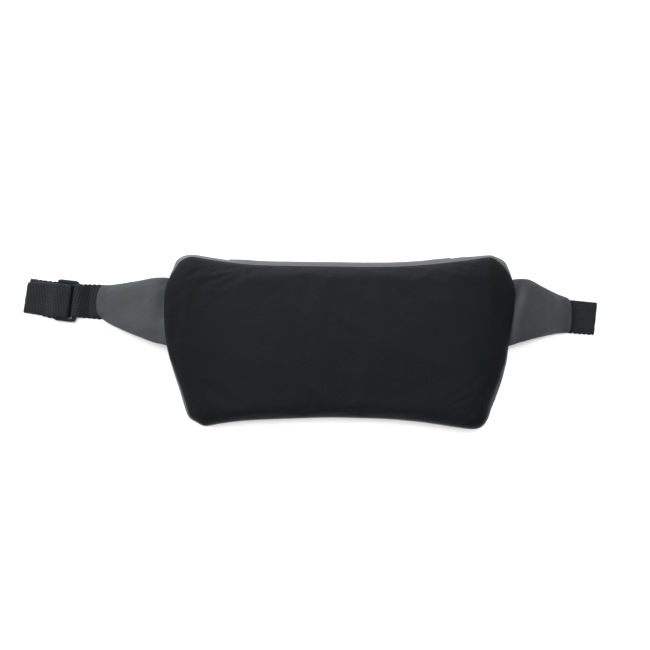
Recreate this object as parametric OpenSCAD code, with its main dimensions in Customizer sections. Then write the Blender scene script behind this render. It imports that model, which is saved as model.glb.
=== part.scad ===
// Waist-worn throw rope bag, lying on its front with the padded back panel up.
// +Z is up, towards the wearer's back; +Y is the bag's top as it is worn; +X is along the belt.
// The origin is on the flat rest face of the front, and every size is in millimetres.

/* [Pouch] */
// Half of the width of the pouch at its widest, near the wings
pouch_half_w = 150; // [146:1:154]
// Height of the seam between back panel and front shell above the rest face
seam_z = 38; // [36:1:40]
// Rise of the padded back panel above the seam
dome_h = 12; // [8:1:15]
// Thickness of the coated cloth shell with its lining
shell_wall = 1.6; // [1.2:0.1:2]
// Size of the flat rest face as a share of the seam outline
base_ratio = 0.5; // [0.48:0.01:0.52]
// Thickness of the cover cloth over the back foam
cover_t = 1.2; // [0.8:0.1:1.6]

/* [Mouth and flap] */
// Upper edge of the mouth as a share of the way down the gusset
mouth_hi = 0.12; // [0.1:0.01:0.16]
// Lower edge of the mouth as a share of the way down the gusset
mouth_lo = 0.6; // [0.55:0.01:0.62]
// Thickness of the closing flap
flap_t = 1.2; // [0.9:0.1:1.6]
// Thickness of each half of the hook and loop closure
fastener_t = 1; // [0.8:0.1:1.1]

/* [Rope] */
// Diameter of the floating throw rope
rope_d = 6; // [6:0.5:7]
// Clear space between the packed rope and the wall of the pouch
rope_room = 8; // [8:0.5:10]

/* [Belt] */
// Width of the belt webbing
web_w = 30; // [28:1:31]
// Thickness of the belt webbing
web_t = 1.2; // [1:0.1:1.2]
// Length of the left return run, from its fold to the buckle bar
left_return = 120; // [112:1:124]
// Length of the right return run, from its fold to the buckle bar
right_return = 68; // [62:1:72]
// Place of the strap adjuster along the left strap, from the fold
glide_at = 37; // [34:1:38]

/* [Buckle] */
// Overall width of both buckle halves
buckle_w = 41; // [40:1:42]
// Thickness of the buckle socket
socket_t = 10.6; // [10.4:0.1:11]
// Radius of the bars that the webbing loops around
bar_r = 1.9; // [1.7:0.1:2]

/* [Hidden] */

coated = [0.50, 0.51, 0.52];
wing_grey = [0.33, 0.34, 0.35];
panel_black = [0.15, 0.17, 0.19];
web_black = [0.17, 0.19, 0.21];
resin_black = [0.2, 0.21, 0.22];

// Right half of the seam outline, clockwise from the top centre, then its mirror image.
half = [
    [0, 65], [40, 65], [80, 65], [102, 66.5], [116, 70], [127, 72], [138, 66], [146.5, 53],
    [150, 36], [149, 16], [145.5, -4], [139.5, -25], [133.5, -43], [127.5, -61], [117, -71.5],
    [90, -69], [45, -65.5], [0, -64.5]
];
kx = pouch_half_w / 150;
ctrl = [
    for (i = [0 : 17]) [half[i][0] * kx, half[i][1]],
    for (i = [16 : -1 : 1]) [-half[i][0] * kx, half[i][1]]
];
nc = len(ctrl);
function wrap(i) = (i % nc + nc) % nc;
function cr(a, b, c, d, f) =
    b + (c - a) * f / 2 + (2 * a - 5 * b + 4 * c - d) * f * f / 2 + (3 * b - a - 3 * c + d) * f * f * f / 2;
// Point of the closed seam outline at parameter p, counted in control points.
function seam(p) =
    let (i = floor(p), f = p - i)
    cr(ctrl[wrap(i - 1)], ctrl[wrap(i)], ctrl[wrap(i + 1)], ctrl[wrap(i + 2)], f);
function outward(p) =
    let (d = seam(p + 0.05) - seam(p - 0.05), l = norm(d)) [-d[1] / l, d[0] / l];

// Point of the pouch's surface: p around it, t down it from seam (0) to rest face (1),
// g the distance outside it. The ends taper straight and the long sides bulge.
function skin(p, t, g) =
    let (
        c = seam(p), n = outward(p),
        u = min(1, abs(c[0]) / pouch_half_w),
        e = 1.05 + 1.45 * (1 - pow(u, 4)),
        f = pow(max(0, 1 - pow(t, e)), 1 / e),
        a = c + n * g, b = c * base_ratio + n * g,
        q = b + (a - b) * f
    ) [q[0], q[1], -g + (seam_z + g) * (1 - t)];

// A layer between the surfaces at distances g0 and g1, over columns ps and rows ts, with the
// cells of the window [first column, last column, first row, last row] left open.
module layer(ps, ts, g0, g1, window = [-9, -9, -9, -9], around = false, floor_cap = false) {
    np = len(ps); nt = len(ts);
    cols = around ? np : np - 1;
    function open_cell(i, k) = i >= window[0] && i <= window[1] && k >= window[2] && k <= window[3];
    function on(i, k) = k >= 0 && k < nt - 1 && (around || (i >= 0 && i < cols)) && !open_cell(i, k);
    function o(i, k) = ((around ? i % np : i) * nt + k) * 2 + 1;
    function n(i, k) = ((around ? i % np : i) * nt + k) * 2;
    pts = [for (i = [0 : np - 1]) for (k = [0 : nt - 1]) for (g = [g0, g1]) skin(ps[i], ts[k], g)];
    faces = [
        for (i = [0 : cols - 1]) for (k = [0 : nt - 2]) if (on(i, k)) each [
            [o(i, k), o(i + 1, k), o(i + 1, k + 1)], [o(i, k), o(i + 1, k + 1), o(i, k + 1)],
            [n(i, k), n(i + 1, k + 1), n(i + 1, k)], [n(i, k), n(i, k + 1), n(i + 1, k + 1)],
            if (!on(i, k - 1)) each [[n(i, k), n(i + 1, k), o(i + 1, k)], [n(i, k), o(i + 1, k), o(i, k)]],
            if (!on(i, k + 1) && !(floor_cap && k == nt - 2)) each [
                [n(i, k + 1), o(i, k + 1), o(i + 1, k + 1)], [n(i, k + 1), o(i + 1, k + 1), n(i + 1, k + 1)]],
            if (!on(around ? (i + np - 1) % np : i - 1, k)) each [
                [n(i, k), o(i, k), o(i, k + 1)], [n(i, k), o(i, k + 1), n(i, k + 1)]],
            if (!on(around ? (i + 1) % np : i + 1, k)) each [
                [n(i + 1, k), n(i + 1, k + 1), o(i + 1, k + 1)], [n(i + 1, k), o(i + 1, k + 1), o(i + 1, k)]]
        ],
        if (floor_cap) [for (i = [0 : np - 1]) o(i, nt - 1)],
        if (floor_cap) [for (i = [np - 1 : -1 : 0]) n(i, nt - 1)]
    ];
    polyhedron(pts, faces, convexity = 6);
}

// A closed pillow between two levels of the pouch's own outline.
// rows is a list of [share of the outline, height]; the first and last rows are closed flat.
module pillow(rows, inset = 0, step = 0.5) {
    ps = [for (p = [0 : step : nc - step / 2]) p];
    np = len(ps); nr = len(rows);
    pts = [
        for (r = rows) for (p = ps) let (c = (seam(p) - outward(p) * inset) * r[0]) [c[0], c[1], r[1]],
        [0, 0, rows[0][1]], [0, 0, rows[nr - 1][1]]
    ];
    faces = [
        for (k = [0 : nr - 2]) for (i = [0 : np - 1]) let (j = (i + 1) % np) each [
            [k * np + i, k * np + j, (k + 1) * np + j], [k * np + i, (k + 1) * np + j, (k + 1) * np + i]
        ],
        for (i = [0 : np - 1]) let (j = (i + 1) % np) each [
            [nr * np, j, i], [nr * np + 1, (nr - 1) * np + i, (nr - 1) * np + j]]
    ];
    polyhedron(pts, faces, convexity = 4);
}

function dome(s) = pow(max(0, 1 - pow(s, 2.6)), 0.6);
dome_rows = [1, 0.985, 0.95, 0.89, 0.8, 0.68, 0.5, 0.28];

// --- back of the pouch -------------------------------------------------------------------

rim_ps = [for (p = [0 : 0.5 : nc - 0.25]) p];
function ring(s, inset, z) = [for (p = rim_ps) let (c = (seam(p) - outward(p) * inset) * s) [c[0], c[1], z]];

module back_panel() color(panel_black) {
    // the outer cloth, closed round its rim, with the foam's space left inside it
    ps = rim_ps;
    np = len(ps); m = len(dome_rows);
    pts = [
        for (s = dome_rows) each ring(s, 0, seam_z + 0.05 + dome_h * dome(s)),
        for (s = dome_rows) each ring(s, 1.5, seam_z + 0.05 + (dome_h - cover_t) * dome(s)),
        [0, 0, seam_z + 0.05 + dome_h], [0, 0, seam_z + 0.05 + dome_h - cover_t]
    ];
    faces = [
        for (k = [0 : m - 2]) for (i = [0 : np - 1]) let (j = (i + 1) % np) each [
            [k * np + i, k * np + j, (k + 1) * np + j], [k * np + i, (k + 1) * np + j, (k + 1) * np + i],
            [(m + k) * np + i, (m + k + 1) * np + j, (m + k) * np + j],
            [(m + k) * np + i, (m + k + 1) * np + i, (m + k + 1) * np + j]
        ],
        for (i = [0 : np - 1]) let (j = (i + 1) % np) each [
            [2 * m * np, (m - 1) * np + i, (m - 1) * np + j],
            [2 * m * np + 1, (2 * m - 1) * np + j, (2 * m - 1) * np + i],
            [i, m * np + j, j], [i, m * np + i, m * np + j]]
    ];
    polyhedron(pts, faces, convexity = 4);
}

module back_foam() color("dimgray")
    pillow([
        [0.96, seam_z + 0.3], [0.955, seam_z + 0.3 + (dome_h - cover_t) * 0.25],
        [0.92, seam_z + (dome_h - cover_t) * dome(0.945) - 0.4],
        [0.8, seam_z + (dome_h - cover_t) * dome(0.83) - 0.3],
        [0.55, seam_z + (dome_h - cover_t) * dome(0.58) - 0.25],
        [0.26, seam_z + (dome_h - cover_t) * dome(0.28) - 0.25]
    ], inset = 2);

module inner_liner() color("silver")
    pillow([[1, seam_z - 0.9], [1, seam_z - 0.1]], inset = shell_wall + 1.6);

// --- front shell, mouth and flap ---------------------------------------------------------

// columns and rows of the shell: the mouth's window is cut on this grid
mouth_p = 2.4;
shell_rows = [0, mouth_hi, 0.28, 0.44, mouth_lo, 0.72, 0.82, 0.9, 0.96, 1];
shell_cols = [for (p = [-mouth_p : 0.4 : mouth_p + 0.01]) p, for (p = [3 : 0.5 : nc - 3.1]) p];

// Puts a piece at the two drain holes, with its z axis out of the lower gusset.
module at_drains() for (x = [-60, 60]) translate([x, -63.6, 20]) rotate([108.6, 0, 0]) children();

module front_shell() color(coated) difference() {
    layer(shell_cols, shell_rows, -shell_wall, 0, [0, 11, 1, 3], around = true, floor_cap = true);
    at_drains() translate([0, 0, -6]) cylinder(h = 12, r = 4.7, $fn = 48);
}

module mouth_binding() color(web_black)
    layer(
        [-2.6, for (p = [-mouth_p : 0.4 : mouth_p + 0.01]) p, 2.6],
        [mouth_hi - 0.09, mouth_hi, 0.28, 0.44, mouth_lo, mouth_lo + 0.08], 0.3, 0.85,
        [1, 12, 1, 3]);

module hook_strip() color(web_black)
    layer([for (p = [-2.2 : 0.4 : 2.21]) p], [0.73, 0.79, 0.85], 0.2, fastener_t);

module drain_grommets() color("silver") at_drains() rotate_extrude($fn = 48) {
    translate([3.4, -2.8]) square([1, 5.5]);
    translate([3.4, 1.7]) square([3.6, 1]);
    translate([3.4, -2.8]) square([3.6, 0.8]);
}

flap_gap = 2 * fastener_t + 0.45;
hinge_y = 68.2;
hinge_z = seam_z - 2;

module flap() color(coated)
    // its upper edge lies along the hinge line at hinge_y, hinge_z
    layer([for (p = [-2.7 : 0.45 : 2.71]) p], [0.05, 0.16, 0.3, 0.44, 0.58, 0.7, 0.79, 0.86],
        flap_gap, flap_gap + flap_t);

module flap_loop_strip() color(web_black)
    layer([for (p = [-2.2 : 0.4 : 2.21]) p], [0.73, 0.79, 0.85], fastener_t + 0.4, flap_gap - 0.15);

module flap_pull_tab() color(web_black)
    // a short tape on the outside of the flap, its root sewn at the flap's lower edge
    layer([-0.27, 0, 0.27], [0.5, 0.6, 0.7, 0.78, 0.84], flap_gap + flap_t + 0.05, flap_gap + flap_t + 1.25);

// --- rope --------------------------------------------------------------------------------

rope_top = seam_z - 8.4;
// Point inside the pouch: like skin, but in from the wall by g and standing on height z0.
// The last division draws the long sides in, clear of the mouth and of the anchor loop.
function core(p, t, g, z0) =
    let (q = skin(p, t, -g))
    [q[0], q[1] / pow(1 + pow(abs(q[1]) / 57.5, 8), 1 / 8), z0 + (seam_z - z0) * (1 - t)];
rope_t = [0.236, 0.3, 0.45, 0.6, 0.74, 0.86, 0.95, 1];
module throw_rope() color("orange") {
    // outer shape of the packed rope; it stays clear of the mouth's inner side
    ps = [for (p = [0 : 0.5 : nc - 0.25]) p];
    np = len(ps); nt = len(rope_t);
    pts = [
        for (k = [0 : nt - 1]) for (p = ps)
            core(p, rope_t[k], rope_room - (k == 0 || k == nt - 1 ? 0 : 1.4), 2.4),
        [0, 0, core(0, rope_t[0], 5, 2.4)[2]], [0, 0, 2.4]
    ];
    faces = [
        for (k = [0 : nt - 2]) for (i = [0 : np - 1]) let (j = (i + 1) % np) each [
            [k * np + i, (k + 1) * np + j, k * np + j], [k * np + i, (k + 1) * np + i, (k + 1) * np + j]
        ],
        for (i = [0 : np - 1]) let (j = (i + 1) % np) each [
            [nt * np, i, j], [nt * np + 1, (nt - 1) * np + j, (nt - 1) * np + i]]
    ];
    polyhedron(pts, faces, convexity = 4);
}

module rope_end_loop() color("orange") translate([58, 38, rope_top + 0.2 + rope_d / 2]) {
    // the free end's hand loop, laid on the packed rope just inside the mouth
    rotate_extrude($fn = 64) translate([13, 0]) circle(d = rope_d, $fn = 24);
    translate([-11.5, 0, 0]) rotate([0, -90, 0]) cylinder(h = 34, d = rope_d + 0.2, $fn = 24);
}

module rope_anchor_loop() color(web_black) translate([-52, -62.3, 24])
    // webbing loop sewn inside the lower gusset, which holds the other end
    rotate([90, 0, 90]) linear_extrude(20) difference() {
        translate([0, 0]) square([5, 11]);
        translate([1.2, 1.2]) square([2.6, 8.6]);
    }

// --- wings -------------------------------------------------------------------------------

wing_axis_x = pouch_half_w + 2.2;
wing_axis_z = seam_z - 1.5;
// stations: distance out from the hinge, height, lower edge, upper edge, thickness
left_st = [
    [0, wing_axis_z, -2, 54, 3], [8, wing_axis_z - 3, -0.5, 54, 5], [20, wing_axis_z - 9, 4, 52.5, 6.5],
    [32, wing_axis_z - 16.5, 8.5, 51, 6.5], [43, 13.5, 13, 50, 6], [51, 7.4, 16, 49.5, 5],
    [57, 5.8, 20, 48, 3.8], [61, 5.3, 25, 42, 2.8]
];
right_st = [
    [0, wing_axis_z, -2, 53, 3], [8, wing_axis_z - 3, 0, 52.5, 5], [17, wing_axis_z - 8, 2, 50, 6.5],
    [26, wing_axis_z - 14.5, 4, 46.5, 6.5], [35, 14, 5.5, 43, 5.5], [42, 7.6, 6.5, 40.5, 5],
    [47, 4.9, 7, 38.5, 4], [50.3, 4, 9, 34, 2.6]
];
function sp(v, e) = sign(v) * pow(abs(v), e);
module wing(st, side) {
    m = 24; ns = len(st);
    pts = [for (s = st) for (j = [0 : m - 1]) let (a = 360 * j / m) [
        side * (wing_axis_x + s[0]),
        (s[2] + s[3]) / 2 + (s[3] - s[2]) / 2 * sp(cos(a), 0.5),
        s[1] + s[4] / 2 * sp(sin(a), 0.8)]];
    f = [
        for (k = [0 : ns - 2]) for (j = [0 : m - 1]) let (l = (j + 1) % m) each [
            [k * m + j, (k + 1) * m + l, k * m + l], [k * m + j, (k + 1) * m + j, (k + 1) * m + l]
        ],
        [for (j = [0 : m - 1]) j],
        [for (j = [m - 1 : -1 : 0]) (ns - 1) * m + j]
    ];
    polyhedron(pts, side < 0 ? [for (q = f) [for (i = [len(q) - 1 : -1 : 0]) q[i]]] : f, convexity = 3);
}
module left_wing() color(wing_grey) wing(left_st, -1);
module right_wing() color(wing_grey) wing(right_st, 1);

// --- belt: local frames with x running back from each fold towards the pouch -------------

left_fold = [-276.5, 38.4];
left_angle = -4;
right_fold = [226, 19.5];
right_angle = 175;
module at_left() translate([left_fold[0], left_fold[1], 0]) rotate([0, 0, left_angle]) children();
module at_right() translate([right_fold[0], right_fold[1], 0]) rotate([0, 0, right_angle]) children();
// A strap whose side view is the given outline, web_w wide.
module strap(w = web_w) translate([0, w / 2, 0]) rotate([90, 0, 0]) linear_extrude(w) children();
// One run of webbing between two points of the side view.
module run(x0, z0, x1, z1, t = web_t) polygon([[x0, z0], [x1, z1], [x1, z1 + t], [x0, z0 + t]]);

left_plane = 2 * web_t + 0.05;
right_plane = web_t + 0.05;
l1 = left_plane + 0.05;
l2 = l1 + web_t + 0.05;

// Fixed end of the left strap, sewn under the wing's tip.
module left_webbing_front() color(web_black) at_left()
    strap() run(60.2, l1, 76, l1);

// Heights at the adjuster: the running layer, then the sewn loop's lower side, then the bars.
g_lo = l1 + web_t + 0.1 + web_t + 0.2;
g_bar = 2.6;
over = g_lo + g_bar + 0.15;
wrap_hi = over + web_t + 0.1;

// The parts of the left strap that the adjuster draws along: the running layer, which comes from
// the wing over the adjuster's far bar and down through it, and passes under its middle; and the
// sewn layer above it, which lies over the near bar up to the loop on the middle bar.
module left_webbing_adjuster() color(web_black) at_left() {
    g = glide_at;
    strap() union() {
        run(0.2, l2, g - 19, l2);
        run(g - 19, l2, g - 11, over);
        run(g - 11, over, g - 4, over);
    }
    strap() union() {
        run(0.2, l1, g + 5.3, l1);
        polygon([[g + 4.2, l1], [g + 5.3, l1], [g + 5.5, over], [g + 5.5, over + web_t], [g + 4.3, over + web_t]]);
        run(g + 4.4, over, g + 10.4, over);
        run(g + 10.4, over, g + 18.5, l1);
        run(g + 18.5, l1, 60, l1);
    }
}

module triglide() color(resin_black) at_left() translate([glide_at, -0.6, g_lo]) rotate([0, 0, -2.5])
    difference() {
        union() {
            linear_extrude(g_bar) difference() {
                rrect(19, 36, 3);
                for (x = [-4.2, 4.2]) translate([x, 0]) square([4.8, 32], center = true);
            }
        }
        // the middle bar is thinner than the outer two
        translate([0, 0, g_bar]) cube([3.6, 31.9, 0.4], center = true);
    }

module rrect(l, w, r) {
    square([l - 2 * r, w], center = true);
    square([l, w - 2 * r], center = true);
    for (x = [-1, 1]) for (y = [-1, 1]) translate([x * (l / 2 - r), y * (w / 2 - r)]) circle(r, $fn = 32);
}

// Sewn end of the strap, round the adjuster's middle bar.
module triglide_wrap() color(web_black) at_left() translate([glide_at, -0.6, 0]) rotate([0, 0, -2.5])
    strap(web_w) difference() {
        translate([-3, g_lo + 0.1 - web_t]) square([6, wrap_hi - g_lo - 0.1 + web_t]);
        translate([-1.9, g_lo - 0.05]) square([3.8, g_bar + 0.1]);
    }

// Doubled return run of the left strap with the loop round the socket's bar.
module loop_end(x, z, zb) {
    // x is the bar's place along the run, z its height, zb the height of the upper layer
    difference() {
        union() {
            translate([x, z]) circle(bar_r + 0.1 + web_t, $fn = 48);
            polygon([[x - 12, 0], [x, z - bar_r - 0.1 - web_t], [x, z - bar_r - 0.1], [x - 12, web_t]]);
            polygon([[x - 12, zb], [x, z + bar_r + 0.1], [x, z + bar_r + 0.1 + web_t], [x - 12, zb + web_t]]);
        }
        translate([x, z]) circle(bar_r + 0.1, $fn = 48);
    }
}
bar_z = 4;
module left_webbing_return() color(web_black) at_left() strap() union() {
    run(0.2, 0, left_return - 11.9, 0);
    run(0.2, web_t - 0.01, left_return - 11.9, web_t - 0.01);
    loop_end(left_return, bar_z, web_t);
}

module right_webbing_front() color(web_black) at_right()
    strap() run(0.2, right_plane + 0.05, right_return - 35, right_plane + 0.05);

module right_webbing_return() color(web_black) at_right() strap() union() {
    run(0.2, 0, right_return - 11.9, 0);
    run(right_return - 34, web_t - 0.01, right_return - 11.9, web_t - 0.01);
    loop_end(right_return, bar_z, web_t);
}

// --- buckle ------------------------------------------------------------------------------

module buckle_socket() color(resin_black) at_left() translate([left_return, 0, 0]) {
    w = buckle_w;
    difference() {
        translate([18, 0, 0]) linear_extrude(socket_t) rrect(43, w, 4);
        // gap that the webbing goes through, round the bar
        translate([-6, -w / 2 + 4.6, -1]) cube([12.6, w - 9.2, socket_t + 2]);
        // throat that the prongs enter
        translate([9.4, -w / 2 + 2.6, 1.9]) cube([40, w - 5.2, socket_t - 3.8]);
        // side windows where the prongs latch and are pressed
        for (s = [-1, 1]) translate([18.5, s * w / 2 - 3, 1.9]) cube([11, 6, socket_t - 3.8]);
        // finger reliefs beside the windows
        for (s = [-1, 1]) translate([24, s * (w / 2 + 7), -1]) cylinder(h = socket_t + 2, r = 9.2, $fn = 64);
    }
    translate([0, -w / 2 + 2, bar_z]) rotate([-90, 0, 0]) cylinder(h = w - 4, r = bar_r, $fn = 32);
}

plug_z = 2.4;
plug_h = 6.4;
prong_y = 11;
prong_x = 12.6;
module buckle_plug() color(resin_black) at_right() translate([right_return, 0, 0]) {
    w = buckle_w;
    difference() {
        union() {
            translate([3.5, 0, plug_z - 1.2]) linear_extrude(plug_h + 2.4) rrect(16, w, 3.5);
            // middle guide rib between the prongs
            translate([11, -2.2, plug_z + 0.6]) cube([22, 4.4, plug_h - 1.2]);
        }
        translate([-6, -w / 2 + 4.6, -1]) cube([12.2, w - 9.2, 20]);
        for (s = [-1, 1]) {
            translate([prong_x, s * prong_y, -1]) cylinder(h = 20, r = 3.1, $fn = 48);
            translate([prong_x, s * prong_y - 3.1, -1]) cube([20, 6.2, 20]);
        }
    }
    translate([0, -w / 2 + 2, bar_z]) rotate([-90, 0, 0]) cylinder(h = w - 4, r = bar_r, $fn = 32);
}

// One springing prong: s is its side.
module prong(s) at_right() translate([right_return, 0, plug_z + 0.4]) mirror([0, s < 0 ? 1 : 0, 0])
    linear_extrude(plug_h - 0.8) union() {
        translate([prong_x, prong_y]) circle(2.7, $fn = 48);
        polygon([[prong_x, prong_y - 1.9], [30, 11.2], [42, 8.6], [44.5, 9.6], [44, 12.6], [36, 17.8],
            [30, 18.4], [28, 15.2], [prong_x, prong_y + 1.9]]);
    }
module buckle_prong_a() color(resin_black) prong(1);
module buckle_prong_b() color(resin_black) prong(-1);

back_panel();
back_foam();
inner_liner();
front_shell();
mouth_binding();
hook_strip();
drain_grommets();
throw_rope();
rope_end_loop();
rope_anchor_loop();
flap();
flap_loop_strip();
flap_pull_tab();
left_wing();
left_webbing_front();
left_webbing_adjuster();
triglide();
triglide_wrap();
left_webbing_return();
buckle_socket();
right_wing();
right_webbing_front();
right_webbing_return();
buckle_plug();
buckle_prong_a();
buckle_prong_b();
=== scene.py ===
# Waist-worn throw rope bag, seen from straight above as it lies on its front.
# Everything is in metres in the CAD frame; the factor K turns millimetres into metres.
import math

import bpy
import bmesh
import numpy as np
from mathutils import Matrix, Vector


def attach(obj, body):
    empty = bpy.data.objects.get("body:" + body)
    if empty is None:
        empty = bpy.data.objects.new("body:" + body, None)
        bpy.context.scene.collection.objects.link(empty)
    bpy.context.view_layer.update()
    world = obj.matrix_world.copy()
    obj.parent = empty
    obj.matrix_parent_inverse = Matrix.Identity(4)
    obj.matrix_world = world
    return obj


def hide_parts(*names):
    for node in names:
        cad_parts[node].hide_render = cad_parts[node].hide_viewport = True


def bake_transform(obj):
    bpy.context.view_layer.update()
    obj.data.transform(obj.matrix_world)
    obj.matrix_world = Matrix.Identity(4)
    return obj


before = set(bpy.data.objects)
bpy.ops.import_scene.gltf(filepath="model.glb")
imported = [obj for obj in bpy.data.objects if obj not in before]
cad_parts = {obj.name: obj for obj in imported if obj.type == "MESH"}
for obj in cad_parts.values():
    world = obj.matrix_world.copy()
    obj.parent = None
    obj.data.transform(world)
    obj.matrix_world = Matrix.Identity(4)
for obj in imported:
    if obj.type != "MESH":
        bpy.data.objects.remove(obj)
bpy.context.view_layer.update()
K = 0.001
scene = bpy.context.scene
rng = np.random.default_rng(617)

# ------------------------------------------------------------------ camera
cam_data = bpy.data.cameras.new("camera")
cam = bpy.data.objects.new("camera", cam_data)
scene.collection.objects.link(cam)
cam.location = (-0.0128, 0.0141, 1.2)
cam.rotation_euler = (0, 0, 0)
cam_data.sensor_width = 36
cam_data.lens = 75.32
cam_data.clip_start = 0.05
scene.camera = cam
scene.view_settings.view_transform = "Standard"

# ------------------------------------------------------------------ materials


def new_mat(name):
    m = bpy.data.materials.new(name)
    m.use_nodes = True
    nt = m.node_tree
    nt.nodes.clear()
    out = nt.nodes.new("ShaderNodeOutputMaterial")
    bsdf = nt.nodes.new("ShaderNodeBsdfPrincipled")
    nt.links.new(bsdf.outputs[0], out.inputs[0])
    return m, nt, bsdf


def node(nt, kind, **inputs):
    n = nt.nodes.new(kind)
    for k, v in inputs.items():
        k = k.replace("_", " ")
        if k in n.inputs:
            n.inputs[k].default_value = v
        else:
            setattr(n, k.replace(" ", "_"), v)
    return n


def math_node(nt, op, a, b=None, clamp=False):
    n = nt.nodes.new("ShaderNodeMath")
    n.operation = op
    n.use_clamp = clamp
    for i, v in enumerate([a, b]):
        if v is None:
            continue
        if hasattr(v, "is_linked") or hasattr(v, "links"):
            nt.links.new(v, n.inputs[i])
        else:
            n.inputs[i].default_value = v
    return n.outputs[0]


def ramp(nt, fac, stops):
    n = nt.nodes.new("ShaderNodeValToRGB")
    e = n.color_ramp.elements
    while len(e) < len(stops):
        e.new(0.5)
    for i, (p, c) in enumerate(stops):
        e[i].position = p
        e[i].color = (*c, 1)
    nt.links.new(fac, n.inputs[0])
    return n.outputs[0]


def coords(nt, scale=(1, 1, 1), rot=(0, 0, 0)):
    tc = nt.nodes.new("ShaderNodeTexCoord")
    mp = nt.nodes.new("ShaderNodeMapping")
    mp.inputs["Scale"].default_value = scale
    mp.inputs["Rotation"].default_value = rot
    nt.links.new(tc.outputs["Object"], mp.inputs["Vector"])
    return mp.outputs[0]


def uvmm(nt, scale=(1, 1, 1), rot=0.0):
    tc = nt.nodes.new("ShaderNodeUVMap")
    tc.uv_map = "weave"
    mp = nt.nodes.new("ShaderNodeMapping")
    mp.inputs["Scale"].default_value = scale
    mp.inputs["Rotation"].default_value = (0, 0, rot)
    nt.links.new(tc.outputs[0], mp.inputs["Vector"])
    return mp.outputs[0]


def noise(nt, vec, scale, detail=3, rough=0.5, dist=0.0):
    n = nt.nodes.new("ShaderNodeTexNoise")
    n.inputs["Scale"].default_value = scale
    n.inputs["Detail"].default_value = detail
    n.inputs["Roughness"].default_value = rough
    n.inputs["Distortion"].default_value = dist
    nt.links.new(vec, n.inputs["Vector"])
    return n.outputs[0]


def wave(nt, vec, period, direction="X", dist=0.0, profile="SIN"):
    n = nt.nodes.new("ShaderNodeTexWave")
    n.wave_type = "BANDS"
    n.bands_direction = direction
    n.wave_profile = profile
    n.inputs["Scale"].default_value = 0.314159 / period
    n.inputs["Distortion"].default_value = dist
    n.inputs["Detail"].default_value = 1.0
    n.inputs["Detail Scale"].default_value = 1.5
    nt.links.new(vec, n.inputs["Vector"])
    return n.outputs[1]


def bump(nt, height, strength, distance, normal=None):
    n = nt.nodes.new("ShaderNodeBump")
    n.inputs["Strength"].default_value = strength
    n.inputs["Distance"].default_value = distance
    nt.links.new(height, n.inputs["Height"])
    if normal is not None:
        nt.links.new(normal, n.inputs["Normal"])
    return n.outputs[0]


def mix_color(nt, fac, a, b):
    n = nt.nodes.new("ShaderNodeMix")
    n.data_type = "RGBA"
    nt.links.new(fac, n.inputs[0])
    for v, i in ((a, 6), (b, 7)):
        if isinstance(v, tuple):
            n.inputs[i].default_value = (*v, 1)
        else:
            nt.links.new(v, n.inputs[i])
    return n.outputs[2]


def cloth_mat(name, base, dark, thread=0.55, weave_bump=0.25, rough=0.7, sheen=0.15,
              sheen_tint=(0.7, 0.8, 0.95), coat=0.0, mottle=0.5, spec=0.35, painted_end_shade=None):
    """A plain woven cloth: warp and weft threads, soft mottling and a little fuzz; optionally its colour is darkened
    towards both ends in x as painted shade.
    """
    m, nt, b = new_mat(name)
    uv = uvmm(nt)
    warp = wave(nt, uv, thread, "X", 0.6)
    weft = wave(nt, uv, thread, "Y", 0.6)
    weave = math_node(nt, "MULTIPLY", warp, weft)
    big = noise(nt, uv, 0.035, 4, 0.55)
    fine = noise(nt, uv, 1.4, 2, 0.6)
    f = math_node(nt, "MULTIPLY", big, mottle)
    f2 = math_node(nt, "MULTIPLY", fine, 0.25)
    f3 = math_node(nt, "MULTIPLY", weave, 0.35)
    fac = math_node(nt, "ADD", math_node(nt, "ADD", f, f2), f3, clamp=True)
    col = mix_color(nt, fac, dark, base)
    # painted shade: towards both ends in x the colour fades to a darker tone, standing in for the shade on the curved
    # ends of the panel
    if painted_end_shade:
        sp = nt.nodes.new("ShaderNodeSeparateXYZ")
        nt.links.new(coords(nt), sp.inputs[0])
        end_shade_mask = nt.nodes.new("ShaderNodeMapRange")
        end_shade_mask.interpolation_type = "SMOOTHSTEP"
        end_shade_mask.inputs["From Min"].default_value = painted_end_shade[0]
        end_shade_mask.inputs["From Max"].default_value = painted_end_shade[1]
        end_shade_mask.inputs["To Max"].default_value = painted_end_shade[2]
        nt.links.new(math_node(nt, "ABSOLUTE", sp.outputs[0]), end_shade_mask.inputs["Value"])
        col = mix_color(nt, end_shade_mask.outputs[0], col, tuple(c * 0.3 for c in dark))
    nt.links.new(col, b.inputs["Base Color"])
    r = nt.nodes.new("ShaderNodeMapRange")
    r.inputs["To Min"].default_value = rough - 0.08
    r.inputs["To Max"].default_value = rough + 0.08
    nt.links.new(big, r.inputs["Value"])
    nt.links.new(r.outputs[0], b.inputs["Roughness"])
    b.inputs["Sheen Weight"].default_value = sheen
    b.inputs["Sheen Roughness"].default_value = 0.5
    b.inputs["Sheen Tint"].default_value = (*sheen_tint, 1)
    b.inputs["Specular IOR Level"].default_value = spec
    b.inputs["Coat Weight"].default_value = coat
    b.inputs["Coat Roughness"].default_value = 0.45
    n1 = bump(nt, weave, weave_bump, 0.00012)
    n2 = bump(nt, big, 0.25, 0.0012, n1)
    nt.links.new(n2, b.inputs["Normal"])
    return m


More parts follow.
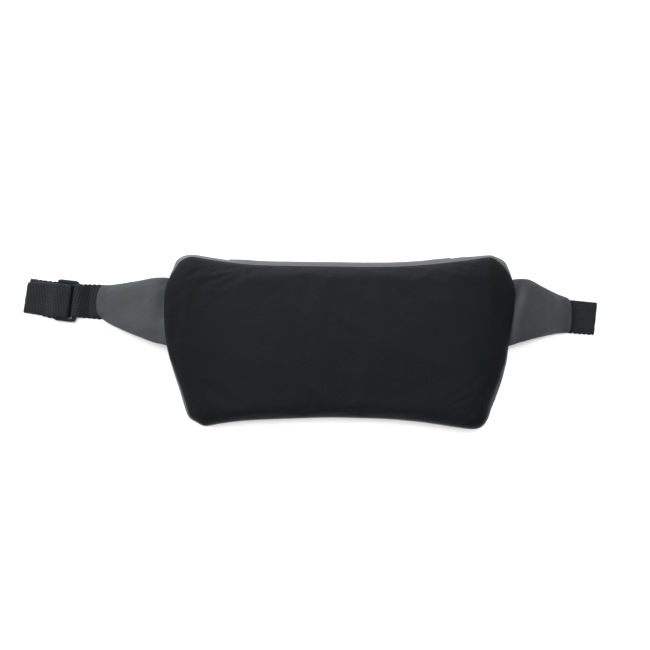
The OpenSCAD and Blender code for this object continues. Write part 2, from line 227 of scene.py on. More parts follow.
def webbing_mat(name, base=(0.030, 0.036, 0.041), dark=(0.0038, 0.0050, 0.0062)):
    """Coarse polyester webbing: a slanting lattice of yarn floats; the low gaps between them are coloured dark as
    painted shade in the weave's hollows.
    """
    m, nt, b = new_mat(name)
    uv = uvmm(nt)
    a = wave(nt, uvmm(nt, rot=math.radians(-13)), 2.45, "X", 0.5)
    c = wave(nt, uvmm(nt, rot=math.radians(17)), 2.75, "Y", 0.5)
    fuzz = noise(nt, uv, 1.5, 3, 0.65)
    big = noise(nt, uv, 0.12, 2, 0.5)
    h = math_node(nt, "ADD", math_node(nt, "MULTIPLY", math_node(nt, "MULTIPLY", a, c), 0.62), math_node(nt, "MULTIPLY", a, 0.3))
    patch = nt.nodes.new("ShaderNodeMapRange")
    patch.inputs["From Min"].default_value = 0.35
    patch.inputs["From Max"].default_value = 0.65
    patch.inputs["To Min"].default_value = 0.55
    patch.inputs["To Max"].default_value = 1.0
    nt.links.new(big, patch.inputs["Value"])
    f = math_node(nt, "MULTIPLY", h, patch.outputs[0])
    f = math_node(nt, "ADD", math_node(nt, "MULTIPLY", f, 0.8), math_node(nt, "MULTIPLY", fuzz, 0.42), clamp=True)
    # painted shade: where the lattice is low the colour goes to the dark tone, standing in for the shade in the gaps
    # between the yarns
    nt.links.new(mix_color(nt, f, dark, base), b.inputs["Base Color"])
    b.inputs["Roughness"].default_value = 0.68
    b.inputs["Sheen Weight"].default_value = 0.08
    b.inputs["Sheen Tint"].default_value = (0.75, 0.85, 0.95, 1)
    b.inputs["Specular IOR Level"].default_value = 0.3
    n1 = bump(nt, h, 0.8, 0.0004)
    n2 = bump(nt, fuzz, 0.3, 0.00012, n1)
    nt.links.new(n2, b.inputs["Normal"])
    return m


def plastic_mat(name, base=(0.0075, 0.0095, 0.0112), rough=0.54):
    """Moulded acetal with a fine spark-eroded grain and rubbed edges."""
    m, nt, b = new_mat(name)
    v = coords(nt, (1000, 1000, 1000))
    grain = noise(nt, v, 3.2, 3, 0.6)
    flow = noise(nt, v, 0.09, 3, 0.5)
    geo = nt.nodes.new("ShaderNodeNewGeometry")
    edge = ramp(nt, geo.outputs["Pointiness"], [(0.5, (0, 0, 0)), (0.56, (1, 1, 1))])
    worn = tuple(min(1, c * 1.5 + 0.003) for c in base)
    col = mix_color(nt, math_node(nt, "MULTIPLY", edge, 0.4), mix_color(nt, flow, tuple(c * 0.8 for c in base), base), worn)
    nt.links.new(col, b.inputs["Base Color"])
    r = nt.nodes.new("ShaderNodeMapRange")
    r.inputs["To Min"].default_value = rough - 0.06
    r.inputs["To Max"].default_value = rough + 0.1
    nt.links.new(flow, r.inputs["Value"])
    nt.links.new(r.outputs[0], b.inputs["Roughness"])
    b.inputs["Specular IOR Level"].default_value = 0.35
    nt.links.new(bump(nt, grain, 0.25, 0.00006), b.inputs["Normal"])
    return m


def rope_mat(name):
    """Braided floating rope: two-colour plait with a bright tracer."""
    m, nt, b = new_mat(name)
    a = wave(nt, uvmm(nt, rot=math.radians(35)), 1.9, "X", 0.2)
    c = wave(nt, uvmm(nt, rot=math.radians(-35)), 1.9, "X", 0.2)
    plait = math_node(nt, "MAXIMUM", a, c)
    fuzz = noise(nt, uvmm(nt), 3.0, 3, 0.6)
    f = math_node(nt, "ADD", math_node(nt, "MULTIPLY", plait, 0.8), math_node(nt, "MULTIPLY", fuzz, 0.25), clamp=True)
    tracer = ramp(nt, wave(nt, uvmm(nt, rot=math.radians(35)), 7.6, "X", 0.1), [(0.78, (0, 0, 0)), (0.86, (1, 1, 1))])
    body = mix_color(nt, f, (0.32, 0.075, 0.006), (0.85, 0.27, 0.02))
    nt.links.new(mix_color(nt, tracer, body, (0.75, 0.72, 0.62)), b.inputs["Base Color"])
    b.inputs["Roughness"].default_value = 0.55
    b.inputs["Sheen Weight"].default_value = 0.2
    nt.links.new(bump(nt, plait, 0.7, 0.0004), b.inputs["Normal"])
    return m


def hook_mat(name, loopy=False):
    m, nt, b = new_mat(name)
    uv = uvmm(nt)
    n = noise(nt, uv, 1.1 if loopy else 1.8, 5, 0.75, 1.2 if loopy else 0.0)
    v = nt.nodes.new("ShaderNodeTexVoronoi")
    v.inputs["Scale"].default_value = 0.9
    nt.links.new(uv, v.inputs["Vector"])
    h = n if loopy else math_node(nt, "SUBTRACT", 1.0, v.outputs[0])
    nt.links.new(mix_color(nt, h, (0.006, 0.007, 0.008), (0.045, 0.048, 0.052)), b.inputs["Base Color"])
    b.inputs["Roughness"].default_value = 0.85
    b.inputs["Sheen Weight"].default_value = 0.3
    nt.links.new(bump(nt, h, 0.9, 0.0005), b.inputs["Normal"])
    return m


M = {
    # the panel cloth is darkened from |x| 85 mm to 150 mm as painted shade on its curved ends
    "panel": cloth_mat("panel_cloth", (0.0122, 0.0158, 0.0185), (0.0085, 0.0113, 0.0135), thread=0.5,
                       weave_bump=0.12, rough=0.74, sheen=0.04, mottle=0.35, spec=0.2, painted_end_shade=(0.085, 0.15, 0.75)),
    "coated": cloth_mat("coated_cloth", (0.185, 0.190, 0.196), (0.145, 0.15, 0.155), thread=0.6,
                        weave_bump=0.1, rough=0.5, sheen=0.05, coat=0.12, mottle=0.35, spec=0.4),
    "wing": cloth_mat("wing_cloth", (0.077, 0.085, 0.088), (0.062, 0.069, 0.071), thread=0.55,
                      weave_bump=0.1, rough=0.62, sheen=0.08, coat=0.05, mottle=0.35, spec=0.3),
    "lining": cloth_mat("lining_cloth", (0.42, 0.42, 0.43), (0.30, 0.30, 0.31), thread=0.7,
                        weave_bump=0.3, rough=0.8, sheen=0.1),
    "web": webbing_mat("webbing"),
    "tape": webbing_mat("binding_tape", (0.026, 0.029, 0.033), (0.010, 0.012, 0.014)),
    "resin": plastic_mat("resin"),
    "rope": rope_mat("rope_plait"),
    "hook": hook_mat("hook_tape"),
    "loop": hook_mat("loop_tape", True),
}

# ------------------------------------------------------------------ mesh helpers


def make(name, verts, faces, mat, uv=None, smooth=True):
    """verts in millimetres; uv is one (u, v) in millimetres for each vertex."""
    me = bpy.data.meshes.new(name)
    me.from_pydata((np.asarray(verts, float) * K).tolist(), [], [tuple(map(int, f)) for f in faces])
    me.validate()
    if uv is not None:
        layer = me.uv_layers.new(name="weave")
        idx = np.zeros(len(me.loops), np.int32)
        me.loops.foreach_get("vertex_index", idx)
        layer.data.foreach_set("uv", np.asarray(uv, np.float32)[idx].ravel())
    if smooth:
        me.polygons.foreach_set("use_smooth", [True] * len(me.polygons))
    me.update()
    ob = bpy.data.objects.new(name, me)
    scene.collection.objects.link(ob)
    me.materials.append(mat)
    return ob


def apply_mods(ob):
    dg = bpy.context.evaluated_depsgraph_get()
    me = bpy.data.meshes.new_from_object(ob.evaluated_get(dg))
    ob.modifiers.clear()
    old = ob.data
    ob.data = me
    bpy.data.meshes.remove(old)
    return ob


def cr(ctrl, t, closed=False):
    """Catmull-Rom through ctrl at parameters t, counted in control points."""
    ctrl = np.asarray(ctrl, float)
    t = np.asarray(t, float)
    n = len(ctrl)
    i = np.floor(t).astype(int)
    if not closed:
        i = np.clip(i, 0, n - 2)
    f = (t - i)[:, None]

    def at(k):
        return ctrl[k % n] if closed else ctrl[np.clip(k, 0, n - 1)]

    a, b, c, d = at(i - 1), at(i), at(i + 1), at(i + 2)
    return b + (c - a) * f / 2 + (2 * a - 5 * b + 4 * c - d) * f ** 2 / 2 + (3 * b - a - 3 * c + d) * f ** 3 / 2


def resample(pts, step):
    pts = np.asarray(pts, float)
    dense = cr(pts, np.linspace(0, len(pts) - 1, len(pts) * 40))
    seg = np.r_[0, np.cumsum(np.linalg.norm(np.diff(dense, axis=0), axis=1))]
    n = max(2, int(round(seg[-1] / step)) + 1)
    s = np.linspace(0, seg[-1], n)
    return np.stack([np.interp(s, seg, dense[:, k]) for k in range(dense.shape[1])], 1), s


def grid_faces(nu, nv, wrap_u=False, wrap_v=False, keep=None, flip=False):
    out = []
    for i in range(nu if wrap_u else nu - 1):
        for j in range(nv if wrap_v else nv - 1):
            if keep is not None and not keep(i, j):
                continue
            a, b = i * nv + j, ((i + 1) % nu) * nv + j
            c, d = ((i + 1) % nu) * nv + (j + 1) % nv, i * nv + (j + 1) % nv
            out.append((a, d, c, b) if flip else (a, b, c, d))
    return out


def vnoise(x, y, scale, seed):
    """Smooth 2-D value noise in -1..1 on arrays, with no library texture."""
    g = np.random.default_rng(seed).uniform(-1, 1, (64, 64))
    u, v = np.asarray(x) / scale, np.asarray(y) / scale
    i, j = np.floor(u).astype(int), np.floor(v).astype(int)
    fu, fv = u - i, v - j
    fu, fv = fu * fu * (3 - 2 * fu), fv * fv * (3 - 2 * fv)
    a, b = g[i % 64, j % 64], g[(i + 1) % 64, j % 64]
    c, d = g[i % 64, (j + 1) % 64], g[(i + 1) % 64, (j + 1) % 64]
    return (a * (1 - fu) + b * fu) * (1 - fv) + (c * (1 - fu) + d * fu) * fv


def smoothstep(a, b, x):
    t = np.clip((np.asarray(x, float) - a) / (b - a), 0, 1)
    return t * t * (3 - 2 * t)


def surface_mesh(name, P, uv, mat, thick, keep=None, wrap=False, flip=False, seam_mats=None):
    """A sheet of cloth given as a grid of points P[i, j], thickened inwards."""
    nu, nv, _ = P.shape
    ob = make(name, P.reshape(-1, 3), grid_faces(nu, nv, wrap_u=wrap, keep=keep, flip=flip), mat, uv.reshape(-1, 2))
    bm = bmesh.new()
    bm.from_mesh(ob.data)
    bmesh.ops.delete(bm, geom=[v for v in bm.verts if not v.link_faces], context="VERTS")
    bm.to_mesh(ob.data)
    bm.free()
    if thick:
        m = ob.modifiers.new("t", "SOLIDIFY")
        m.thickness = thick * K
        m.offset = -1
        m.use_even_offset = False
        apply_mods(ob)
    return ob


# ------------------------------------------------------------------ pouch outline
# clockwise from the middle of the top: x, y, and how far the cloth below stands proud of the panel
OUT = [
    (0, 63.6, 1.0), (29, 63.3, 1.0), (53, 63.8, 1.0), (77, 65.4, 1.2), (100, 67.8, 2.9), (114, 69.5, 2.3),
    (124, 71.2, 1.5), (130, 71.2, 1.6), (135, 68.2, 2.5), (139.3, 64.4, 2.8), (142.4, 60.5, 2.3), (147, 52.5, 1.5),
    (149.4, 43, 1.0), (149.2, 34, 0.9), (148.4, 26, 0.9), (147.2, 18, 0.9), (145.8, 10, 0.9), (144.2, 1.5, 1.0),
    (142.6, -7, 1.2), (141, -16, 1.4), (138.3, -24.5, 1.9), (135.6, -33, 2.3), (132.3, -41.5, 2.4), (129.2, -50, 2.3),
    (126.8, -58, 1.5), (125, -64.6, 1.2), (122, -70.3, 0.7), (117.5, -73.2, 0.4), (111, -73.6, 0.3), (100, -72.2, 0.3),
    (88, -70.4, 0.3), (65, -67.2, 0.3), (36, -64.9, 0.3), (-7, -63.8, 0.3), (-43, -64.7, 0.3), (-79, -66.3, 0.3),
    (-101, -68.8, 0.3), (-111, -70.6, 0.4), (-116.6, -70.8, 0.5), (-122.3, -67.5, 0.8), (-127.6, -63.6, 1.2), (-130.2, -57, 1.5),
    (-135, -41.5, 1.5), (-141, -24.5, 1.4), (-146.4, -9, 1.2), (-148.8, 6, 1.0), (-149.8, 18, 0.9), (-149.9, 30, 0.9),
    (-149, 43, 1.0), (-145.4, 54, 1.3), (-141.2, 61, 1.9), (-136.8, 67.4, 2.5), (-131.6, 70.9, 2.2), (-125.5, 71.9, 1.5),
    (-114.4, 70, 1.6), (-90.5, 66.7, 1.3), (-66.5, 64.7, 1.0), (-31, 64.0, 1.0),
]
OUT = np.array(OUT, float)
NO = len(OUT)
SEAM = 38.0


def outline(p):
    q = cr(OUT, p, closed=True)
    d = cr(OUT, p + 0.04, closed=True) - cr(OUT, p - 0.04, closed=True)
    n = np.stack([-d[:, 1], d[:, 0]], 1)
    n /= np.linalg.norm(n, axis=1)[:, None]
    return q[:, :2], n, q[:, 2]


def skin(p, t, g, bulge=1.0, z_of=None):
    """The pouch's cloth: p along the outline, t down it, g outside it, arrays of one shape."""
    shape = p.shape
    c, n, b = outline(p.ravel())
    t, g = np.broadcast_to(t, shape).ravel(), np.broadcast_to(g, shape).ravel()
    u = np.minimum(1, np.abs(c[:, 0]) / 150)
    e = 1.05 + 1.45 * (1 - u ** 4)
    tt = np.clip(t, 0, 1)
    f = np.maximum(0, 1 - tt ** e) ** (1 / e)
    off = g + bulge * b * np.sin(np.clip(tt / 0.05, 0, 1) * np.pi / 2) * (1 - smoothstep(0.3, 0.9, tt))
    off = off - 0.8 * (1 - smoothstep(0.004, 0.046, tt))
    a = c + n * off[:, None]
    base = c * 0.5 + n * g[:, None]
    q = base + (a - base) * f[:, None]
    z = -g + (SEAM + g) * (1 - t)
    return np.concatenate([q, z[:, None]], 1).reshape(*shape, 3)


def p_at(x, top=True):
    """Outline parameter where the top edge has that x."""
    pp = np.linspace(-8, 8, 1601)
    q, _, _ = outline(pp)
    ok = q[:, 1] > 60
    return float(np.interp(x, q[ok, 0], pp[ok]))


# ------------------------------------------------------------------ back panel
def coons(nu, nv):
    i_tr, i_br, i_bl, i_tl = 8, 27, 39, 51.5 - NO
    top = outline(np.linspace(i_tl, i_tr, nu))[0]
    right = outline(np.linspace(i_tr, i_br, nv))[0]
    bottom = outline(np.linspace(i_bl, i_br, nu))[0]
    left = outline(np.linspace(NO + i_tl, i_bl, nv))[0]
    # even spacing along each side
    def even(c):
        s = np.r_[0, np.cumsum(np.linalg.norm(np.diff(c, axis=0), axis=1))]
        w = np.linspace(0, 1, len(c))
        w = w + 0.32 * np.sin(2 * np.pi * w) / (2 * np.pi) * -1
        return np.stack([np.interp(w * s[-1], s, c[:, k]) for k in (0, 1)], 1)
    top, right, bottom, left = even(top), even(right), even(bottom), even(left)
    U = np.linspace(0, 1, nu)[:, None, None]
    V = np.linspace(0, 1, nv)[None, :, None]
    P = (1 - V) * top[:, None] + V * bottom[:, None] + (1 - U) * left[None] + U * right[None]
    P -= (1 - U) * (1 - V) * top[0] + U * (1 - V) * top[-1] + (1 - U) * V * bottom[0] + U * V * bottom[-1]
    return P


rim = outline(np.linspace(0, NO, 1400, endpoint=False))[0]


def edge_distance(xy):
    """Distance from each point to the nearest side of the outline."""
    out = np.empty(len(xy))
    ab = np.roll(rim, -1, 0) - rim
    l2 = (ab ** 2).sum(1)
    for k in range(0, len(xy), 2000):
        d = xy[k:k + 2000, None, :] - rim[None]
        t = np.clip((d * ab[None]).sum(2) / l2[None], 0, 1)
        out[k:k + 2000] = np.sqrt(((d - t[..., None] * ab[None]) ** 2).sum(2).min(1))
    return out


def dent(x, y, cx, cy, ax, ay, ang=0.0):
    c, s = math.cos(ang), math.sin(ang)
    u, v = (x - cx) * c + (y - cy) * s, -(x - cx) * s + (y - cy) * c
    return np.exp(-(u / ax) ** 2 - (v / ay) ** 2)


NU, NV = 230, 116
flat = coons(NU, NV)
X, Y = flat[..., 0], flat[..., 1]
D = edge_distance(flat.reshape(-1, 2)).reshape(NU, NV)
side = smoothstep(95, 140, np.abs(X))
radius = 13 + 10 * side
round_edge = np.sqrt(np.clip(1 - (1 - np.minimum(D / radius, 1)) ** 2, 0, 1))
crown = (1 - np.clip(np.abs(X) / 152, 0, 1) ** 2.4) * (1 - np.clip(np.abs(Y + 1) / 78, 0, 1) ** 2)
Z = SEAM + 0.3 + 6.4 * round_edge + 6.4 * crown
# broad slack in the cloth, a soft valley inside each end, and short puckers where the seam eases
inner = smoothstep(0, 26, D)
Z += 0.35 * vnoise(X, Y, 46, 3) * inner + 0.16 * vnoise(X + 0.5 * Y, Y, 17, 4) * smoothstep(0, 10, D)
Z -= 1.5 * dent(X, Y, 137, 24, 6.5, 24, 0.05) + 0.7 * dent(X, Y, -139, 20, 6, 30, -0.03)
Z -= 0.5 * dent(X, Y, 128, -44, 5, 22, 0.3) + 0.5 * dent(X, Y, -126, -42, 5, 20, -0.35)
for cx, cy, ang, depth, ln in [
    (-83, 61, 1.35, 0.55, 7), (-86, 60, 1.15, 0.35, 9), (-31, -60, -1.4, 0.6, 6), (-27, -59, -1.9, 0.3, 7),
    (60, 60, 1.7, 0.25, 6), (18, -60, -1.6, 0.25, 6), (96, 62, 1.2, 0.3, 8), (-112, 62, 1.9, 0.3, 9),
    (104, -64, -1.2, 0.3, 8), (-104, -62, -1.9, 0.3, 8), (132, 52, 0.5, 0.4, 9), (-133, 52, 2.6, 0.4, 9),
    (121, -58, -0.8, 0.35, 8), (-121, -57, -2.3, 0.35, 8),
]:
    Z -= 0.6 * depth * dent(X, Y, cx, cy, ln, 1.7, ang)
panel = np.dstack([X, Y, Z])
# the cloth turns under at the rim and is sewn in there
ring_idx = [(i, 0) for i in range(NU)] + [(NU - 1, j) for j in range(1, NV)] + \
    [(i, NV - 1) for i in range(NU - 2, -1, -1)] + [(0, j) for j in range(NV - 2, 0, -1)]
ring = np.array([panel[i, j] for i, j in ring_idx])
cen = ring[:, :2]
tan = np.roll(cen, -1, 0) - np.roll(cen, 1, 0)
nrm = np.stack([-tan[:, 1], tan[:, 0]], 1)
nrm /= np.linalg.norm(nrm, axis=1)[:, None]
verts = [panel.reshape(-1, 3)]
faces = grid_faces(NU, NV, flip=True)
base = NU * NV
prev = [i * NV + j for i, j in ring_idx]
for off, z in ((0.40, 0.22), (0.52, 0.58), (0.32, 0.90), (-0.8, 1.0), (-2.6, 1.0)):
    row = np.c_[cen + nrm * off, ring[:, 2] * (1 - z) + (SEAM - 1.2) * z]
    cur = list(range(base, base + len(row)))
    verts.append(row)
    m_ = len(row)
    faces += [(prev[k], prev[(k + 1) % m_], cur[(k + 1) % m_], cur[k]) for k in range(m_)]
    prev = cur
    base += m_
verts = np.vstack(verts)
uv = verts[:, :2].copy()
cover = make("back_cover", verts, faces, M["panel"], uv)


def inflate(ob, pinned, frames, pressure, cap, shrink):
    """Blows the cloth up a little with Blender's own cloth solver; no point moves past cap."""
    start = np.array([v.co for v in ob.data.vertices])
    vg = ob.vertex_groups.new(name="pin")
    vg.add([int(i) for i in pinned], 1.0, "REPLACE")
    c = ob.modifiers.new("cloth", "CLOTH")
    s = c.settings
    s.quality = 6
    s.mass = 0.25
    s.tension_stiffness = 18
    s.compression_stiffness = 10
    s.shear_stiffness = 6
    s.bending_stiffness = 1.2
    s.air_damping = 6
    s.use_pressure = True
    s.uniform_pressure_force = pressure
    s.shrink_min = shrink
    s.vertex_group_mass = "pin"
    s.effector_weights.gravity = 0
    c.collision_settings.use_collision = False
    c.collision_settings.use_self_collision = False
    c.point_cache.frame_start = 1
    c.point_cache.frame_end = frames
    for f in range(1, frames + 1):
        scene.frame_set(f)
    dg = bpy.context.evaluated_depsgraph_get()
    ev = ob.evaluated_get(dg)
    end = np.array([v.co for v in ev.data.vertices])
    ob.modifiers.remove(c)
    ob.vertex_groups.remove(vg)
    scene.frame_set(1)
    move = end - start
    if not np.isfinite(move).all():
        move[:] = 0
    d = np.linalg.norm(move, axis=1)
    k = np.minimum(1, cap / np.maximum(d, 1e-9))
    ob.data.vertices.foreach_set("co", (start + move * k[:, None]).ravel())
    ob.data.update()
    return d.max()


pin = [i for i in range(len(verts)) if i >= NU * NV] + [i * NV + j for i, j in ring_idx]
worst = inflate(cover, pin, 14, 1.6, 0.0010, -0.002)
print("back cover moved", round(worst * 1000, 2), "mm")
m = cover.modifiers.new("t", "SOLIDIFY")
m.thickness = 0.0010
m.offset = -1
apply_mods(cover)
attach(cover, "pouch")
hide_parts("back_panel")

# ------------------------------------------------------------------ front shell
rows = np.unique(np.r_[np.linspace(0, 0.12, 9), np.linspace(0.12, 0.6, 21), np.linspace(0.6, 0.92, 22), np.linspace(0.92, 1, 7)])
p_m = p_at(88.0)
p_n = p_at(-88.0)
cols_top = np.linspace(p_n, p_m, 81)
cols_rest = np.linspace(p_m, NO + p_n, 300)[1:-1]
cols = np.r_[cols_top, cols_rest]
PP, TT = np.meshgrid(cols, rows, indexing="ij")
S = skin(PP, TT, np.zeros_like(PP))
# slack: folds run down from the seam at the ends, soft dents on the belly
cx, cy = S[..., 0], S[..., 1]
ang = np.arctan2(cy, cx)
endw = smoothstep(80, 135, np.abs(cx)) * smoothstep(0.02, 0.2, TT) * (1 - smoothstep(0.75, 0.98, TT))
flapzone = smoothstep(40, 52, cy) * (1 - smoothstep(98, 108, np.abs(cx)))
gn = outline(PP.ravel())[1].reshape(*PP.shape, 2)
w = endw * (0.9 * vnoise(ang * 60, TT * 20, 7, 21) + 0.5 * vnoise(ang * 60, TT * 30, 3.1, 22))
w += 0.5 * vnoise(cx, S[..., 2] * 1.5 + cy, 26, 23) * smoothstep(0.05, 0.3, TT) * (1 - smoothstep(0.8, 0.97, TT)) * (1 - flapzone)
low = smoothstep(30, 50, -cy) * smoothstep(0.1, 0.3, TT) * (1 - smoothstep(0.6, 0.9, TT))
w += 0.35 * low * vnoise(cx, S[..., 2], 9, 24)
# sewn seam between gusset and front panel
w -= 0.7 * np.exp(-((TT - 0.80) / 0.012) ** 2)
w += 0.35 * (np.exp(-((TT - 0.775) / 0.012) ** 2) + np.exp(-((TT - 0.825) / 0.012) ** 2))
w += 1.1 * smoothstep(0.0, 0.05, TT) * (1 - smoothstep(0.3, 0.6, TT))
S[..., :2] += gn * w[..., None]
# a small stand-up fold of cloth at the right and left top corners
for fx, fy, h, r in ((138.5, 66.5, 0.8, 4.5), (-137.5, 67.5, 0.7, 4.0), (133, 71, -0.6, 2.2), (-129, 72.5, -0.5, 2.4)):
    g_ = h * np.exp(-((cx - fx) ** 2 + (cy - fy) ** 2) / r ** 2) * (1 - smoothstep(0.2, 0.5, TT))
    S[..., :2] += gn * g_[..., None]
nrow = len(rows)
shell_uv = np.dstack([
    np.broadcast_to(np.r_[0, np.cumsum(np.linalg.norm(np.diff(outline(cols)[0], axis=0), axis=1))][:, None], PP.shape),
    np.broadcast_to(np.r_[0, np.cumsum(np.linalg.norm(np.diff(S[40], axis=0), axis=1))][None], PP.shape)])
# close the flat front with rings towards its middle
extra = []
last = S[:, -1]
for k in np.r_[np.linspace(0.93, 0.06, 14), 0.004]:
    q = last.copy()
    q[:, :2] *= k
    q[:, 2] = 0.0 + 0.25 * smoothstep(0, 1, 1 - k) * (0.5 + 0.5 * vnoise(q[:, 0], q[:, 1], 30, 9))
    extra.append(q)
S2 = np.concatenate([S, np.stack(extra, 1)], 1)
uv2 = np.concatenate([shell_uv, np.stack([e[:, :2] for e in extra], 1)], 1)
k0, k1 = int(np.argmin(abs(rows - 0.12))), int(np.argmin(abs(rows - 0.6)))
mid = (S2[:, :-1] + S2[:, 1:]) / 2
mid = (mid + np.roll(mid, -1, 0)) / 2
near_drain = np.zeros(mid.shape[:2], bool)
for dx in (-60, 60):
    near_drain |= np.linalg.norm(mid - np.array([dx, -63.6, 20]), axis=2) < 4.6
shell = surface_mesh("front_shell_cloth", S2, uv2, M["coated"], 1.1, wrap=True,
                     keep=lambda i, j: not (i < 80 and k0 <= j < k1) and not near_drain[i, j])
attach(shell, "pouch")
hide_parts("front_shell")


# ------------------------------------------------------------------ sweeps and small parts


def cap_faces(a, n):
    """Two end caps' triangles for rings a (first vertex) of n points."""
    return [(a, a + k + 1, a + k) for k in range(1, n - 1)]


def tube(name, path, radius, mat, sides=12, closed=False, step=None, up=None):
    """A round cord along path, in millimetres, with (length, girth) as its weave coordinates."""
    P = np.asarray(path, float)
    if step:
        P, _ = resample(P, step)
    if closed:
        T = np.roll(P, -1, 0) - np.roll(P, 1, 0)
    else:
        T = np.gradient(P, axis=0)
    T /= np.linalg.norm(T, axis=1)[:, None]
    up = np.array([0, 0, 1.0]) if up is None else np.asarray(up, float)
    B = np.cross(T, up)
    B /= np.maximum(np.linalg.norm(B, axis=1), 1e-6)[:, None]
    N = np.cross(B, T)
    a = np.linspace(0, 2 * np.pi, sides, endpoint=False)
    R = np.broadcast_to(radius, len(P))
    V = P[:, None] + R[:, None, None] * (np.cos(a)[None, :, None] * B[:, None] + np.sin(a)[None, :, None] * N[:, None])
    s = np.r_[0, np.cumsum(np.linalg.norm(np.diff(P, axis=0), axis=1))]
    uv = np.dstack([np.broadcast_to(s[:, None], V.shape[:2]), np.broadcast_to(a[None] * np.mean(R), V.shape[:2])])
    f = grid_faces(len(P), sides, wrap_u=closed, wrap_v=True)
    if not closed:
        f += cap_faces(0, sides) + [c[::-1] for c in cap_faces((len(P) - 1) * sides, sides)]
    return make(name, V.reshape(-1, 3), f, mat, uv.reshape(-1, 2))


def sweep(name, C, B, N, prof, mat, closed=False):
    """A flat section swept along C; prof is (across B, along N) in millimetres, one closed loop."""
    C, B, N = (np.asarray(a, float) for a in (C, B, N))
    prof = np.asarray(prof, float)
    V = C[:, None] + prof[None, :, :1] * B[:, None] + prof[None, :, 1:] * N[:, None]
    s = np.r_[0, np.cumsum(np.linalg.norm(np.diff(C, axis=0), axis=1))]
    g = np.r_[0, np.cumsum(np.linalg.norm(np.diff(prof, axis=0), axis=1))]
    uv = np.dstack(np.broadcast_arrays(s[:, None], g[None]))
    f = grid_faces(len(C), len(prof), wrap_u=closed, wrap_v=True)
    if not closed:
        f += cap_faces(0, len(prof)) + [c[::-1] for c in cap_faces((len(C) - 1) * len(prof), len(prof))]
    return make(name, V.reshape(-1, 3), f, mat, uv.reshape(-1, 2))


def oval(w, h, n=20, power=3.0):
    a = np.linspace(0, 2 * np.pi, n, endpoint=False)
    c, s = np.cos(a), np.sin(a)
    return np.c_[w / 2 * np.sign(c) * abs(c) ** (2 / power), h / 2 * np.sign(s) * abs(s) ** (2 / power)]


def stitches(name, P, N, mat, length=2.7, gap=1.3, thick=0.42, lift=0.1):
    """A line of thread stitches along P, standing on the cloth whose outward normals are N."""
    P, N = np.asarray(P, float), np.asarray(N, float)
    seg = np.r_[0, np.cumsum(np.linalg.norm(np.diff(P, axis=0), axis=1))]
    at = np.arange(0.8, seg[-1] - length, length + gap)
    V, F, U = [], [], []
    prof = [(-0.5, 0.15), (-0.34, 0.8), (0, 1.0), (0.34, 0.8), (0.5, 0.15)]

    def pick(s):
        return (np.array([np.interp(s, seg, P[:, k]) for k in range(3)]),
                np.array([np.interp(s, seg, N[:, k]) for k in range(3)]))
    for s0 in at:
        a, na = pick(s0)
        b, _ = pick(s0 + length)
        d = b - a
        L_ = np.linalg.norm(d)
        d /= L_
        n = na / np.linalg.norm(na)
        w = np.cross(d, n)
        w /= np.linalg.norm(w)
        base_ = len(V)
        for u, r in prof:
            for q in range(6):
                an = q * np.pi / 3
                V.append((a + b) / 2 + d * u * L_ + (w * np.cos(an) + n * np.sin(an)) * r * thick / 2 + n * (lift - 0.12 * (abs(u) > 0.4)))
                U.append((u * L_, q))
        for k in range(4):
            for q in range(6):
                F.append((base_ + k * 6 + q, base_ + k * 6 + (q + 1) % 6, base_ + (k + 1) * 6 + (q + 1) % 6, base_ + (k + 1) * 6 + q))
        F += [tuple(base_ + q for q in range(5, -1, -1)), tuple(base_ + 24 + q for q in range(6))]
    return make(name, V, F, mat, U)


def detail(name, nodes, mat, bevel, segments=2, body=None, slot=None, sharp=30, shift=None):
    """A finer copy of CAD solids: merged, its flat faces joined, its edges rounded."""
    out = []
    for nd in nodes:
        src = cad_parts[nd]
        me = src.data.copy()
        ob = bpy.data.objects.new(name if len(nodes) == 1 else name + "_" + nd, me)
        scene.collection.objects.link(ob)
        bm = bmesh.new()
        bm.from_mesh(me)
        bmesh.ops.remove_doubles(bm, verts=bm.verts, dist=0.00002)
        bmesh.ops.dissolve_limit(bm, angle_limit=math.radians(1.5), verts=bm.verts, edges=bm.edges)
        bmesh.ops.recalc_face_normals(bm, faces=bm.faces)
        if shift:
            bmesh.ops.translate(bm, verts=bm.verts, vec=shift)
        bm.to_mesh(me)
        bm.free()
        if bevel:
            b = ob.modifiers.new("b", "BEVEL")
            b.width = bevel * K
            b.segments = segments
            b.limit_method = "ANGLE"
            b.angle_limit = math.radians(sharp)
            b.harden_normals = False
            b.use_clamp_overlap = True
        t = ob.modifiers.new("tri", "TRIANGULATE")
        t.min_vertices = 5
        apply_mods(ob)
        me = ob.data
        me.polygons.foreach_set("use_smooth", [True] * len(me.polygons))
        me.set_sharp_from_angle(angle=math.radians(38))
        me.materials.clear()
        me.materials.append(mat)
        while me.uv_layers:
            me.uv_layers.remove(me.uv_layers[0])
        layer = me.uv_layers.new(name="weave")
        co = np.empty(len(me.vertices) * 3, np.float32)
        me.vertices.foreach_get("co", co)
        co = co.reshape(-1, 3) * 1000
        uvs = np.zeros((len(me.loops), 2), np.float32)
        for p in me.polygons:
            n = p.normal
            ax = max(range(3), key=lambda k: abs(n[k]))
            o2 = [k for k in range(3) if k != ax]
            for li in p.loop_indices:
                uvs[li] = co[me.loops[li].vertex_index][o2]
        layer.data.foreach_set("uv", uvs.ravel())
        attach(ob, body)
        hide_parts(nd)
        out.append(ob)
    return out if len(out) > 1 else out[0]


